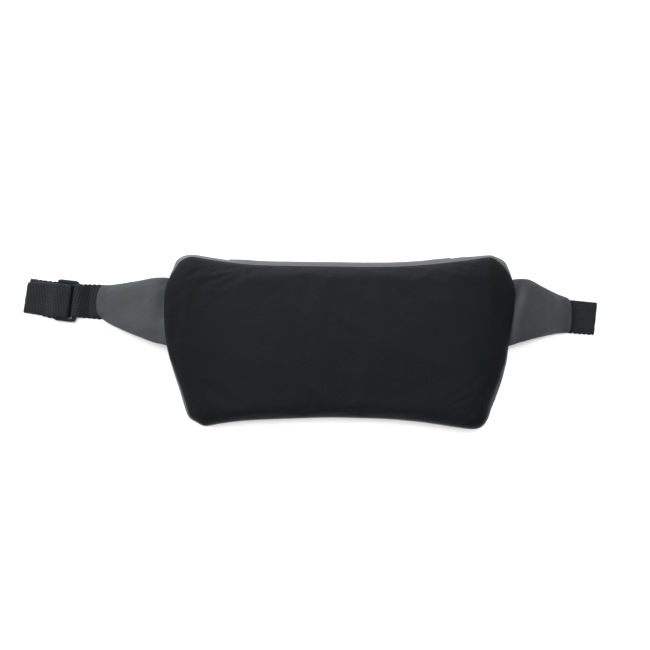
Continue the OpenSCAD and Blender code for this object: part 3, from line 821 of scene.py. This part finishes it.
# ------------------------------------------------------------------ mouth, lining, drains
tt0, tt1 = rows[k0], rows[k1]
corner = 0.03
loop_p, loop_t = [], []
pn, pm = p_n + 0.0, p_m + 0.0
for q in np.linspace(pn, pm, 90):
    loop_p.append(q), loop_t.append(tt0)
for q in np.linspace(tt0, tt1, 16)[1:]:
    loop_p.append(pm), loop_t.append(q)
for q in np.linspace(pm, pn, 90)[1:]:
    loop_p.append(q), loop_t.append(tt1)
for q in np.linspace(tt1, tt0, 16)[1:-1]:
    loop_p.append(pn), loop_t.append(q)
loop_p, loop_t = np.array(loop_p), np.array(loop_t)
C = skin(loop_p, loop_t, 0.75 - 1.05 * smoothstep(0.3, 0.6, loop_t))
Co = skin(loop_p, loop_t, 2.05 - 1.05 * smoothstep(0.3, 0.6, loop_t))
Nn = Co - C
Nn[:, 2] *= 0.2
Nn /= np.linalg.norm(Nn, axis=1)[:, None]
Tn = np.roll(C, -1, 0) - np.roll(C, 1, 0)
Tn /= np.linalg.norm(Tn, axis=1)[:, None]
Bn = np.cross(Tn, Nn)
Bn /= np.linalg.norm(Bn, axis=1)[:, None]
binding = sweep("mouth_tape", C, Bn, Nn, oval(5.2, 2.4, 16), M["tape"], closed=True)
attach(binding, "pouch")
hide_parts("mouth_binding")
for dt, nm in ((0.655, "mouth_stitch_low"),):
    pq = np.linspace(pn, pm, 160)
    a_ = skin(pq, np.full_like(pq, dt), np.full_like(pq, 0.05))
    b_ = skin(pq, np.full_like(pq, dt), np.full_like(pq, 1.0))
    st = stitches(nm, a_, b_ - a_, M["tape"])
    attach(st, "pouch")

foam = detail("pad_foam", ["back_foam"], M["lining"], 0, body="pouch", slot="foam")
liner = detail("lining_sheet", ["inner_liner"], M["lining"], 0, body="pouch", slot="lining")
hooks = detail("hook_tape_strip", ["hook_strip"], M["hook"], 0, body="pouch", slot="hook_tape")
drains = detail("drain_eyelets", ["drain_grommets"], M["resin"], 0.3, body="pouch", slot="eyelet_metal", shift=(0, 0.0016, -0.0005))
for v_ in drains.data.vertices:
    v_.co.y -= 0.0011 if v_.co.x > 0 else 0.0
anchor = detail("anchor_loop", ["rope_anchor_loop"], M["web"], 0.35, body="pouch", slot="webbing")

# ------------------------------------------------------------------ flap over the mouth
fx = np.linspace(p_at(-95.0), p_at(95.0), 150)
ft = np.r_[np.linspace(0.0, 0.08, 9), np.linspace(0.08, 0.3, 10)[1:], np.linspace(0.3, 0.87, 26)[1:]]
FP, FT = np.meshgrid(fx, ft, indexing="ij")
FU = abs(2 * (FP - fx[0]) / (fx[-1] - fx[0]) - 1)
FG = -1.6 + (5.0 - 1.1 * smoothstep(0.78, 1.0, FU)) * smoothstep(0.0, 0.055, FT) + 1.0 * smoothstep(0.42, 0.68, FT) + smoothstep(0.04, 0.12, FT) * (0.2 * vnoise(FP * 20, FT * 40, 9, 51) + 0.12 * vnoise(FP * 30, FT * 60, 4, 52))
FG -= 0.5 * np.exp(-((FT - 0.69) / 0.015) ** 2) + 0.3 * np.exp(-((FT - 0.85) / 0.012) ** 2)
endlift = smoothstep(0.93, 1.0, abs(2 * (FP - fx[0]) / (fx[-1] - fx[0]) - 1))
FG -= 0.35 * endlift
# rounded lower corners
tcut = 0.87 - 0.13 * smoothstep(0.95, 1.0, abs(2 * (FP - fx[0]) / (fx[-1] - fx[0]) - 1)) ** 2
FT2 = FT / 0.87 * tcut
FSm = skin(FP, FT2, FG)
FSm[..., 2] = np.maximum(FSm[..., 2], 1.2)
fuv = np.dstack(np.broadcast_arrays(
    np.r_[0, np.cumsum(np.linalg.norm(np.diff(FSm[:, 5], axis=0), axis=1))][:, None],
    np.r_[0, np.cumsum(np.linalg.norm(np.diff(FSm[60], axis=0), axis=1))][None]))
flap = surface_mesh("flap_cloth", FSm, fuv, M["coated"], 1.1)
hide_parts("flap")
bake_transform(flap)
for nm, t_, g_ in (("flap_stitch_a", 0.69, 0.0), ("flap_stitch_b", 0.845, 0.0)):
    pq = np.linspace(p_at(-90), p_at(90), 200)
    a_ = skin(pq, np.full_like(pq, t_), np.full_like(pq, 4.1))
    b_ = skin(pq, np.full_like(pq, t_), np.full_like(pq, 5.1))
    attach(stitches(nm, a_, b_ - a_, M["tape"]), "flap")
loops = detail("loop_tape_strip", ["flap_loop_strip"], M["loop"], 0, body="flap", slot="hook_tape")
tab = detail("pull_tab", ["flap_pull_tab"], M["web"], 0.3, body="flap", slot="webbing")

# ------------------------------------------------------------------ wings
LW = [[-10, 36.3, -4.0, 54.0, 2.0], [-4, 36.9, -3.2, 54.6, 2.6], [0, 36.5, -2.4, 54.9, 3.4], [8, 33.5, -0.7, 54.6, 5], [20, 27.5, 3.6, 52.6, 6.5],
      [32, 20, 7.8, 51, 6.5], [43, 13.5, 12.4, 49.7, 6], [49.3, 9.4, 15.2, 49.3, 5.4], [54, 7.0, 18, 49.0, 4.4],
      [58, 6.0, 21.2, 46.6, 3.6], [60.4, 5.5, 24.5, 42, 2.6], [61.4, 5.4, 27.5, 37, 1.6]]
RW = [[-10, 36.3, -4.4, 52.0, 2.0], [-4, 36.9, -2.8, 53.0, 2.6], [0, 36.5, -1.4, 53.6, 3.4], [8, 33.5, 0.6, 53.5, 5.2], [13.5, 31, 2, 51.9, 6.2],
      [22, 25.5, 3.8, 47.8, 6.5], [30.4, 18.5, 5.4, 44.2, 6.2], [38.9, 10.7, 6.7, 41, 5.4], [44.5, 7.0, 7, 39.2, 4.6],
      [48.2, 5.6, 7.6, 37.8, 3.6], [50.4, 4.8, 10, 35.4, 2.6], [51.4, 4.5, 14, 31.5, 1.6]]


def wing(name, st, sign, node_, dimples, seed):
    st = np.array(st, float)
    nd, nv = 110, 80
    tq = np.linspace(0, len(st) - 1, nd)
    q = cr(st, tq)
    d, z, lo, hi, th = q.T
    x = sign * (152.2 + d)
    tx, tz = np.gradient(d), np.gradient(z)
    l_ = np.hypot(tx, tz)
    nx, nz = -tz / l_ * sign, tx / l_
    v = (1 - np.cos(np.linspace(0, np.pi, nv))) / 2
    Y_ = lo[:, None] + (hi - lo)[:, None] * v[None]
    half = th[:, None] / 2 * (1 - np.abs(2 * v[None] - 1) ** 5) ** 0.5
    ex = (Y_ - lo[:, None])
    ey = (hi[:, None] - Y_)
    near = np.minimum(ex, ey)
    top = half.copy()
    dd = np.broadcast_to(d[:, None], Y_.shape)
    for cd, cyy, ad, ay, dep, an in dimples:
        top -= dep * dent(dd, Y_, cd, cyy, ad, ay, an) * smoothstep(0, 6, near)
    top += (0.3 * vnoise(dd, Y_, 13, seed) + 0.12 * vnoise(dd + Y_, Y_, 5, seed + 1)) * smoothstep(0, 5, near)
    top -= 0.1 * np.exp(-((near - 3.2) / 0.8) ** 2) * smoothstep(6, 12, dd)
    A = np.dstack([x[:, None] + nx[:, None] * top, Y_, z[:, None] + nz[:, None] * top])
    Bm = np.dstack([x[:, None] - nx[:, None] * half, Y_, z[:, None] - nz[:, None] * half])
    V = np.concatenate([A.reshape(-1, 3), Bm.reshape(-1, 3)])
    uv = np.concatenate([np.dstack([dd, Y_]).reshape(-1, 2)] * 2)
    m_ = nd * nv
    F = grid_faces(nd, nv, flip=sign < 0) + [tuple(m_ + i for i in f) for f in grid_faces(nd, nv, flip=sign > 0)]
    ring_ = [i * nv for i in range(nd)] + [(nd - 1) * nv + j for j in range(1, nv)] + \
        [i * nv + nv - 1 for i in range(nd - 2, -1, -1)] + [j for j in range(nv - 2, 0, -1)]
    for k in range(len(ring_)):
        a, b = ring_[k], ring_[(k + 1) % len(ring_)]
        F.append((a, a + m_, b + m_, b) if sign > 0 else (a, b, b + m_, a + m_))
    ob = make(name, V, F, M["wing"], uv)
    bm = bmesh.new()
    bm.from_mesh(ob.data)
    bmesh.ops.remove_doubles(bm, verts=bm.verts, dist=1e-6)
    bmesh.ops.recalc_face_normals(bm, faces=bm.faces)
    bm.to_mesh(ob.data)
    bm.free()
    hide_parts(node_)
    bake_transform(ob)
    return ob


wing("left_wing_pad", LW, -1, "left_wing",
     [(-1.2, 29, 5.2, 19, 2.9, 0.03), (9, 27, 4, 22, -0.5, 0.05), (27, 30, 10, 12, 0.5, 0.3), (46, 33, 7, 9, -0.5, 0), (10, 6, 6, 3.5, 0.6, 0.5)], 61)
wing("right_wing_pad", RW, 1, "right_wing",
     [(0.6, 41, 3.4, 6.5, 1.9, 0), (3.2, 27, 5.6, 20, -1.7, -0.3), (22, 26, 9, 15, 0.6, 0.1), (40, 22, 5, 9, -0.5, 0)], 71)

# ------------------------------------------------------------------ webbing


def left(s, v, z):
    return np.stack([-276.5 + 0.99756 * s + 0.06976 * v, 38.4 - 0.06976 * s + 0.99756 * v, z + 0 * s], -1)


def right(s, v, z):
    return np.stack([226 - 0.99619 * s - 0.08716 * v, 19.5 + 0.08716 * s - 0.99619 * v, z + 0 * s], -1)


def arc(cs, cz, r, a0, a1, n=14):
    a = np.radians(np.linspace(a0, a1, n))
    return [(cs + r * math.cos(t), cz + r * math.sin(t)) for t in a]


class Ribbon:
    """One length of webbing along path points (distance, height, sideways, skew, width), cut at marks."""

    def __init__(self, place, path, hw=14.6, thick=1.14, soften=0.45, marks=(), edges=(1, 1)):
        last = (0.0, 0.0, 1.0, 1.0)
        full = []
        for q in path:
            last = (tuple(q[2:]) + last[len(q) - 2:]) if len(q) > 2 else last
            full.append((q[0], q[1], *last))
        P = np.array(full, float)
        seg = np.r_[0, np.cumsum(np.linalg.norm(np.diff(P[:, :2], axis=0), axis=1))]
        n = int(seg[-1] / 0.4)
        a = np.linspace(0, seg[-1], n)
        Q = np.stack([np.interp(a, seg, P[:, k]) for k in range(6)], 1)

        def soft(col, reach):
            w = max(1, int(reach / 0.4))
            ker = np.hanning(2 * w + 3)[1:-1]
            ker /= ker.sum()
            q = np.convolve(np.pad(col, (w, w), mode="edge"), ker, "valid")
            q[0], q[-1] = col[0], col[-1]
            return q
        Q2 = np.stack([soft(Q[:, k], soften * 2) for k in (0, 1)], 1)
        vo, sh, wd, sq = (soft(Q[:, k], 5.0) for k in (2, 3, 4, 5))
        self.mark = [int(round(seg[m] / seg[-1] * (n - 1))) for m in marks]
        t = np.gradient(Q2, axis=0)
        t /= np.linalg.norm(t, axis=1)[:, None]
        nrm_ = np.stack([-t[:, 1], t[:, 0]], 1)
        NB = 41
        b = np.r_[np.linspace(-1, 1, NB), np.linspace(1, -1, NB)[1:-1]]
        sd = np.r_[np.ones(NB), -np.ones(NB - 2)]
        ww = wd * hw
        ph = 0.8 * np.sin(a / 31)
        sc1 = edges[0] * sq * 0.62 * (np.abs(np.sin(np.pi * a / 4.3 + ph)) - 0.62)
        sc2 = edges[1] * sq * 0.62 * (np.abs(np.sin(np.pi * a / 4.6 + 1.1 - ph)) - 0.62)
        v = vo[:, None] + b[None] * (ww[:, None] + np.where(b[None] > 0, sc1[:, None], sc2[:, None]) * np.abs(b[None]) ** 3)
        vv = b[None] * ww[:, None]
        k1 = np.sin(2 * np.pi * (a[:, None] / 2.5 + 0.22 * vv / 2.5))
        k2 = np.sin(2 * np.pi * (vv / 2.9 - 0.30 * a[:, None] / 2.9))
        rib = 0.11 * k1 * (0.6 + 0.4 * k2) * (1 - b[None] ** 10)
        edge = thick / 2 * (1 - np.abs(b[None]) ** 9) ** 0.5
        off = -sd[None] * (edge + rib)
        s = Q2[:, :1] + nrm_[:, :1] * off + sh[:, None] * v
        z = Q2[:, 1:] + nrm_[:, 1:] * off
        self.V = place(s, v, np.maximum(z, 0.02))
        self.uv = np.dstack([np.broadcast_to(a[:, None], v.shape), np.broadcast_to(vv, v.shape)])
        self.length = seg[-1]

    def piece(self, name, i0, i1, mat):
        V, uv = self.V[i0:i1 + 1], self.uv[i0:i1 + 1]
        nr, nb = V.shape[:2]
        F = grid_faces(nr, nb, wrap_v=True)
        F += cap_faces(0, nb) + [c[::-1] for c in cap_faces((nr - 1) * nb, nb)]
        ob = make(name, V.reshape(-1, 3), F, mat, uv.reshape(-1, 2))
        bm = bmesh.new()
        bm.from_mesh(ob.data)
        bmesh.ops.recalc_face_normals(bm, faces=bm.faces)
        bm.to_mesh(ob.data)
        bm.free()
        return ob


sc_ = 2.3
path = [(78, 7.8, 1.2, 0, 1), (75.2, 6.1), (70.5, 4.25), (66.5, 3.7), (62, 3.35, 1.1, 0, 1), (56.5, 3.3, 0.85, 0, 1), (48.6, 8.1, 0.2, 0.03, 1), (46.8, 8.6, 0, 0.05, 1),
        (43.7, 8.6, -0.3, 0.06, 0.99), (42.95, 8.1, -0.3, 0.06, 0.99), (42.85, 5.2, -0.3, 0.06, 0.99), (42.2, 3.6, -0.4, 0.06, 0.99),
        (41, 3.28, -0.5, 0.06, 0.99)]
i_tri = len(path) - 1
path += [(30, 3.28, -2.5, 0.04, 1), (24, 3.28, -2.1, 0.04, 1), (16, 3.1, -0.6, 0.05, 1), (10, 3.1, 1.2, 0.06, 0.99), (sc_ + 0.5, 3.1, 2.6, 0.085, 0.98)]
i_e = len(path) - 1
path += arc(sc_ + 0.5, 2.475, 0.63, 90, 270, 9)[1:]
i_r2 = len(path) - 1
path += [(20, 1.85, 1.2, 0.02, 1), (60, 1.85, 0, 0, 1), (100, 1.85), (107.5, 1.9), (112, 2.9), (116.5, 5.4)]
path += arc(120, 4, 2.6, 90, -90, 13) + [(117, 1.1), (112, 0.7), (104, 0.62), (20, 0.62, 0, 0.02, 1), (sc_, 0.62, 0, 0.085, 0.93, 0.25)]
i_r1 = len(path) - 1
path += arc(sc_, 2.485, 1.865, 270, 90, 15)[1:]
i_top = len(path) - 1
path += [(10, 4.35, -0.1, 0.06, 0.97), (18, 4.4, -0.25, 0.04, 1), (26.3, 8.35, -0.45, 0.05, 1), (28.2, 8.62, -0.5, 0.06, 1), (33, 8.62, -0.6, 0.06, 1)]
i_w = len(path) - 1
path += [(38.7, 8.58), (39.6, 8.1), (40.05, 7.2), (40.0, 5.5), (39.3, 4.8), (38.2, 4.62), (34.6, 4.62)]
LR = Ribbon(left, path, marks=(0, i_tri, i_e, i_r2, i_r1, i_top, i_w, len(path) - 1))
m0, m1, m2, m3, m4, m5, m6, m7 = LR.mark


wa = LR.piece("web_wing_to_slider", m0, m1, M["web"])
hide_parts("left_webbing_front")
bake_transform(wa)
we = LR.piece("web_slider_to_fold", m1, m2, M["web"])
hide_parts("left_webbing_adjuster")
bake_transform(we)
wd = LR.piece("web_inner_turn", m2, m3, M["web"])
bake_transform(wd)
wr = LR.piece("web_to_socket", m3, m4, M["web"])
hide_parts("left_webbing_return")
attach(wr, "left_strap")
wc = LR.piece("web_outer_turn", m4, m5, M["web"])
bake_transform(wc)
wb = LR.piece("web_fold_to_slider", m5, m6, M["web"])
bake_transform(wb)
ww_ = LR.piece("web_slider_loop", m6, m7, M["web"])
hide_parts("triglide_wrap")
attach(ww_, "triglide")

rpath = [(35, 7.5, 0, 0, 1), (29.3, 4.15), (25.6, 3.2), (23, 2.6), (20, 1.9), (1.3, 1.9, 0, 0.02, 0.98)]
j_top = len(rpath) - 1
rpath += arc(1.3, 1.255, 0.65, 90, 270, 9)[1:]
j_bot = len(rpath) - 1
rpath += [(20, 0.62, 0, 0, 1), (54, 0.62), (61, 0.75), (65, 1.1)] + arc(68, 4, 2.6, -90, 90, 13)
rpath += [(64.5, 5.4), (60, 2.9), (55.5, 1.9), (50, 1.85), (35, 1.85)]
RR = Ribbon(right, rpath, marks=(0, j_top, j_bot, len(rpath) - 1), edges=(1.15, 0.2))
n0, n1, n2, n3 = RR.mark
ra = RR.piece("web_right_front", n0, n1, M["web"])
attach(ra, "right_wing")
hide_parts("right_webbing_front")
rb = RR.piece("web_right_turn", n1, n2, M["web"])
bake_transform(rb)
rc = RR.piece("web_to_plug", n2, n3, M["web"])
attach(rc, "right_strap")
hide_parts("right_webbing_return")
print("webbing lengths, mm: left", round(LR.length), "right", round(RR.length))

# ------------------------------------------------------------------ hard parts


def plate(name, loops_, thick, bevel, mat):
    """A flat moulding with holes: the first loop is its outline, the others its holes, in millimetres."""
    cu = bpy.data.curves.new(name, "CURVE")
    cu.dimensions = "2D"
    cu.fill_mode = "BOTH"
    for lp_ in loops_:
        sp = cu.splines.new("POLY")
        sp.points.add(len(lp_) - 1)
        for q_, (x_, y_) in zip(sp.points, lp_):
            q_.co = (x_, y_, 0, 1)
        sp.use_cyclic_u = True
    cu.extrude = thick / 2 - bevel
    cu.bevel_depth = bevel
    cu.bevel_resolution = 3
    cu.offset = -bevel
    tmp = bpy.data.objects.new(name + "_c", cu)
    scene.collection.objects.link(tmp)
    dg = bpy.context.evaluated_depsgraph_get()
    me = bpy.data.meshes.new_from_object(tmp.evaluated_get(dg))
    co = np.empty(len(me.vertices) * 3)
    me.vertices.foreach_get("co", co)
    tri = [tuple(p.vertices) for p in me.polygons]
    bpy.data.objects.remove(tmp)
    return co.reshape(-1, 3), tri


def rounded(w, h, r, n=8, cx_=0.0):
    pts = []
    for qx, qy, a0 in ((1, 1, 0), (-1, 1, 90), (-1, -1, 180), (1, -1, 270)):
        for t_ in np.radians(np.linspace(a0, a0 + 90, n)):
            pts.append((cx_ + qx * (w / 2 - r) + r * math.cos(t_), qy * (h / 2 - r) + r * math.sin(t_)))
    return pts


co_, tri_ = plate("slider", [rounded(19.6, 36.4, 3.4), rounded(4.5, 30.3, 1.2, cx_=-4.2)[::-1], rounded(4.5, 30.3, 1.2, cx_=4.2)[::-1]], 2.7, 0.75, M["resin"])
mid_bar = np.abs(co_[:, 0]) < 2.0
co_[mid_bar & (np.abs(co_[:, 1]) < 15.2) & (co_[:, 2] > 0), 2] -= 0.25
an = math.radians(-2.5)
ls = 37 + co_[:, 0] * math.cos(an) - co_[:, 1] * math.sin(an)
lv = -0.35 + co_[:, 0] * math.sin(an) + co_[:, 1] * math.cos(an)
slider = make("slider_body", left(ls, lv, 6.5 + co_[:, 2]), tri_, M["resin"], np.c_[ls, lv])
bm = bmesh.new()
bm.from_mesh(slider.data)
bmesh.ops.remove_doubles(bm, verts=bm.verts, dist=1e-6)
bmesh.ops.recalc_face_normals(bm, faces=bm.faces)
bm.to_mesh(slider.data)
bm.free()
slider.data.set_sharp_from_angle(angle=math.radians(50))
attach(slider, "triglide")
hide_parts("triglide")
sock = detail("buckle_socket_body", ["buckle_socket"], M["resin"], 0.8, 3, body="left_strap", slot="resin")
plug = detail("buckle_plug_body", ["buckle_plug"], M["resin"], 0.7, 3, body="right_strap", slot="resin")
pa = detail("buckle_prong_upper", ["buckle_prong_a"], M["resin"], 0.6, 3, body="prong_a", slot="resin")
pb = detail("buckle_prong_lower", ["buckle_prong_b"], M["resin"], 0.6, 3, body="prong_b", slot="resin")

# ------------------------------------------------------------------ rope
turns = []
levels = [5.4, 10.7, 16.0, 21.3, 26.6]
for li, zc in enumerate(levels):
    tq = 1 - (zc - 2.4) / (SEAM - 2.4)
    u_ = 1.05
    A_ = (150 * (0.5 + 0.5 * max(0, 1 - tq ** 1.05) *max(0, 1 - tq ** 1.05) ** (1 / 1.05))) - 12.5 + min(2, li)
    q = 65 * (0.5 + 0.5 * max(0, 1 - tq ** 2.5) ** (1 / 2.5))
    B_ = min(q - 11.5, 51.0)
    nt_ = (B_ - 6.6) / 6.15
    th_ = np.linspace(0, 2 * np.pi * nt_, int(nt_ * 150))
    if li % 2:
        th_ = th_[::-1]
    sh = 6.15 * th_ / (2 * np.pi)
    c_, s_ = np.cos(th_), np.sin(th_)
    px_ = (A_ - sh) * np.sign(c_) * abs(c_) ** (2 / 3.6)
    py_ = (B_ - sh) * np.sign(s_) * abs(s_) ** (2 / 3.6)
    turns.append(np.c_[px_, py_, np.full_like(px_, zc)])
rope_path = [turns[0]]
for nxt in turns[1:]:
    a, b = rope_path[-1][-1], nxt[0]
    lift = np.linspace(0, 1, 14)[1:-1, None]
    rope_path.append(a + (b - a) * (lift * lift * (3 - 2 * lift)))
    rope_path.append(nxt)
rp = np.vstack(rope_path)
seg = np.r_[0, np.cumsum(np.linalg.norm(np.diff(rp, axis=0), axis=1))]
ss = np.arange(0, seg[-1], 3.2)
rp = np.stack([np.interp(ss, seg, rp[:, k]) for k in range(3)], 1)
ker = np.array([1, 2, 3, 2, 1]) / 9
for k in range(2):
    rp[2:-2] = sum(w_ * rp[i:len(rp) - 4 + i] for i, w_ in enumerate(ker))
rope_len = float(np.linalg.norm(np.diff(rp, axis=0), axis=1).sum())
print("rope in the pouch, m:", round(rope_len / 1000, 2))
rope = tube("throw_rope_line", rp, 2.95, M["rope"], 10)
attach(rope, "pouch")
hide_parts("throw_rope")
a_ = np.linspace(0, 2 * np.pi, 90, endpoint=False)
ringp = np.c_[58 + 13 * np.cos(a_), 38 + 13 * np.sin(a_), np.full_like(a_, 32.8)]
rl = tube("rope_hand_loop", ringp, 3.0, M["rope"], 12, closed=True)
tl = tube("rope_hand_loop_tail", [(45.6, 38, 32.8), (40, 38, 32.8), (30, 38.4, 32.8), (14, 38, 32.8)], 3.1, M["rope"], 12, step=2)
for o in (rl, tl):
    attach(o, "pouch")
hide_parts("rope_end_loop")

# ------------------------------------------------------------------ floor and light
bpy.ops.mesh.primitive_plane_add(size=4, location=(0, 0, -0.0003))
floor = bpy.context.object
floor.name = "floor"
fm, fnt, fb = new_mat("floor_white")
fb.inputs["Base Color"].default_value = (0.8, 0.8, 0.8, 1)
fb.inputs["Roughness"].default_value = 1.0
fb.inputs["Specular IOR Level"].default_value = 0.0
floor.data.materials.append(fm)

# sky: bright from the object's top edge, dim from the other sides
world = bpy.data.worlds.new("studio")
scene.world = world
world.use_nodes = True
wt = world.node_tree
bg = wt.nodes["Background"]
tc = wt.nodes.new("ShaderNodeTexCoord")
dot = wt.nodes.new("ShaderNodeVectorMath")
dot.operation = "DOT_PRODUCT"
dot.inputs[1].default_value = (-0.25, 0.85, 0.46)
wt.links.new(tc.outputs["Generated"], dot.inputs[0])
sky = wt.nodes.new("ShaderNodeMapRange")
sky.inputs["From Min"].default_value = -0.3
sky.inputs["From Max"].default_value = 1.0
sky.inputs["To Min"].default_value = 0.30
sky.inputs["To Max"].default_value = 1.25
wt.links.new(dot.outputs["Value"], sky.inputs["Value"])
bg.inputs[0].default_value = (0.96, 0.98, 1, 1)
sx = wt.nodes.new("ShaderNodeSeparateXYZ")
wt.links.new(tc.outputs["Generated"], sx.inputs[0])
ax = math_node(wt, "ABSOLUTE", sx.outputs[0])
side_ = math_node(wt, "SUBTRACT", 1.0, math_node(wt, "MULTIPLY", math_node(wt, "POWER", ax, 0.8), 0.7))
wt.links.new(math_node(wt, "MULTIPLY", sky.outputs[0], side_), bg.inputs[1])


def area(name, loc, target, size, power, size_y=None):
    ld = bpy.data.lights.new(name, "AREA")
    ld.energy = power
    ld.shape = "RECTANGLE"
    ld.size = size
    ld.size_y = size_y or size
    lo_ = bpy.data.objects.new(name, ld)
    scene.collection.objects.link(lo_)
    lo_.location = loc
    lo_.rotation_euler = (Vector(target) - Vector(loc)).to_track_quat("-Z", "Y").to_euler()
    return lo_


area("key", (-0.8, 1.25, 0.85), (0, 0, 0), 0.9, 21, 0.6)
# a broad overhead light for the floor alone: its penumbra is the narrow grey edge under the bag
tl_ = bpy.data.lights.new("table_light", "SUN")
tl_.energy = 3.15
tl_.angle = math.radians(17)
table = bpy.data.objects.new("table_light", tl_)
scene.collection.objects.link(table)
table.rotation_euler = Vector((0.0, 0.07, 1.0)).to_track_quat("Z", "Y").to_euler()
lit = bpy.data.collections.new("floor_only")
lit.objects.link(floor)
table.light_linking.receiver_collection = lit
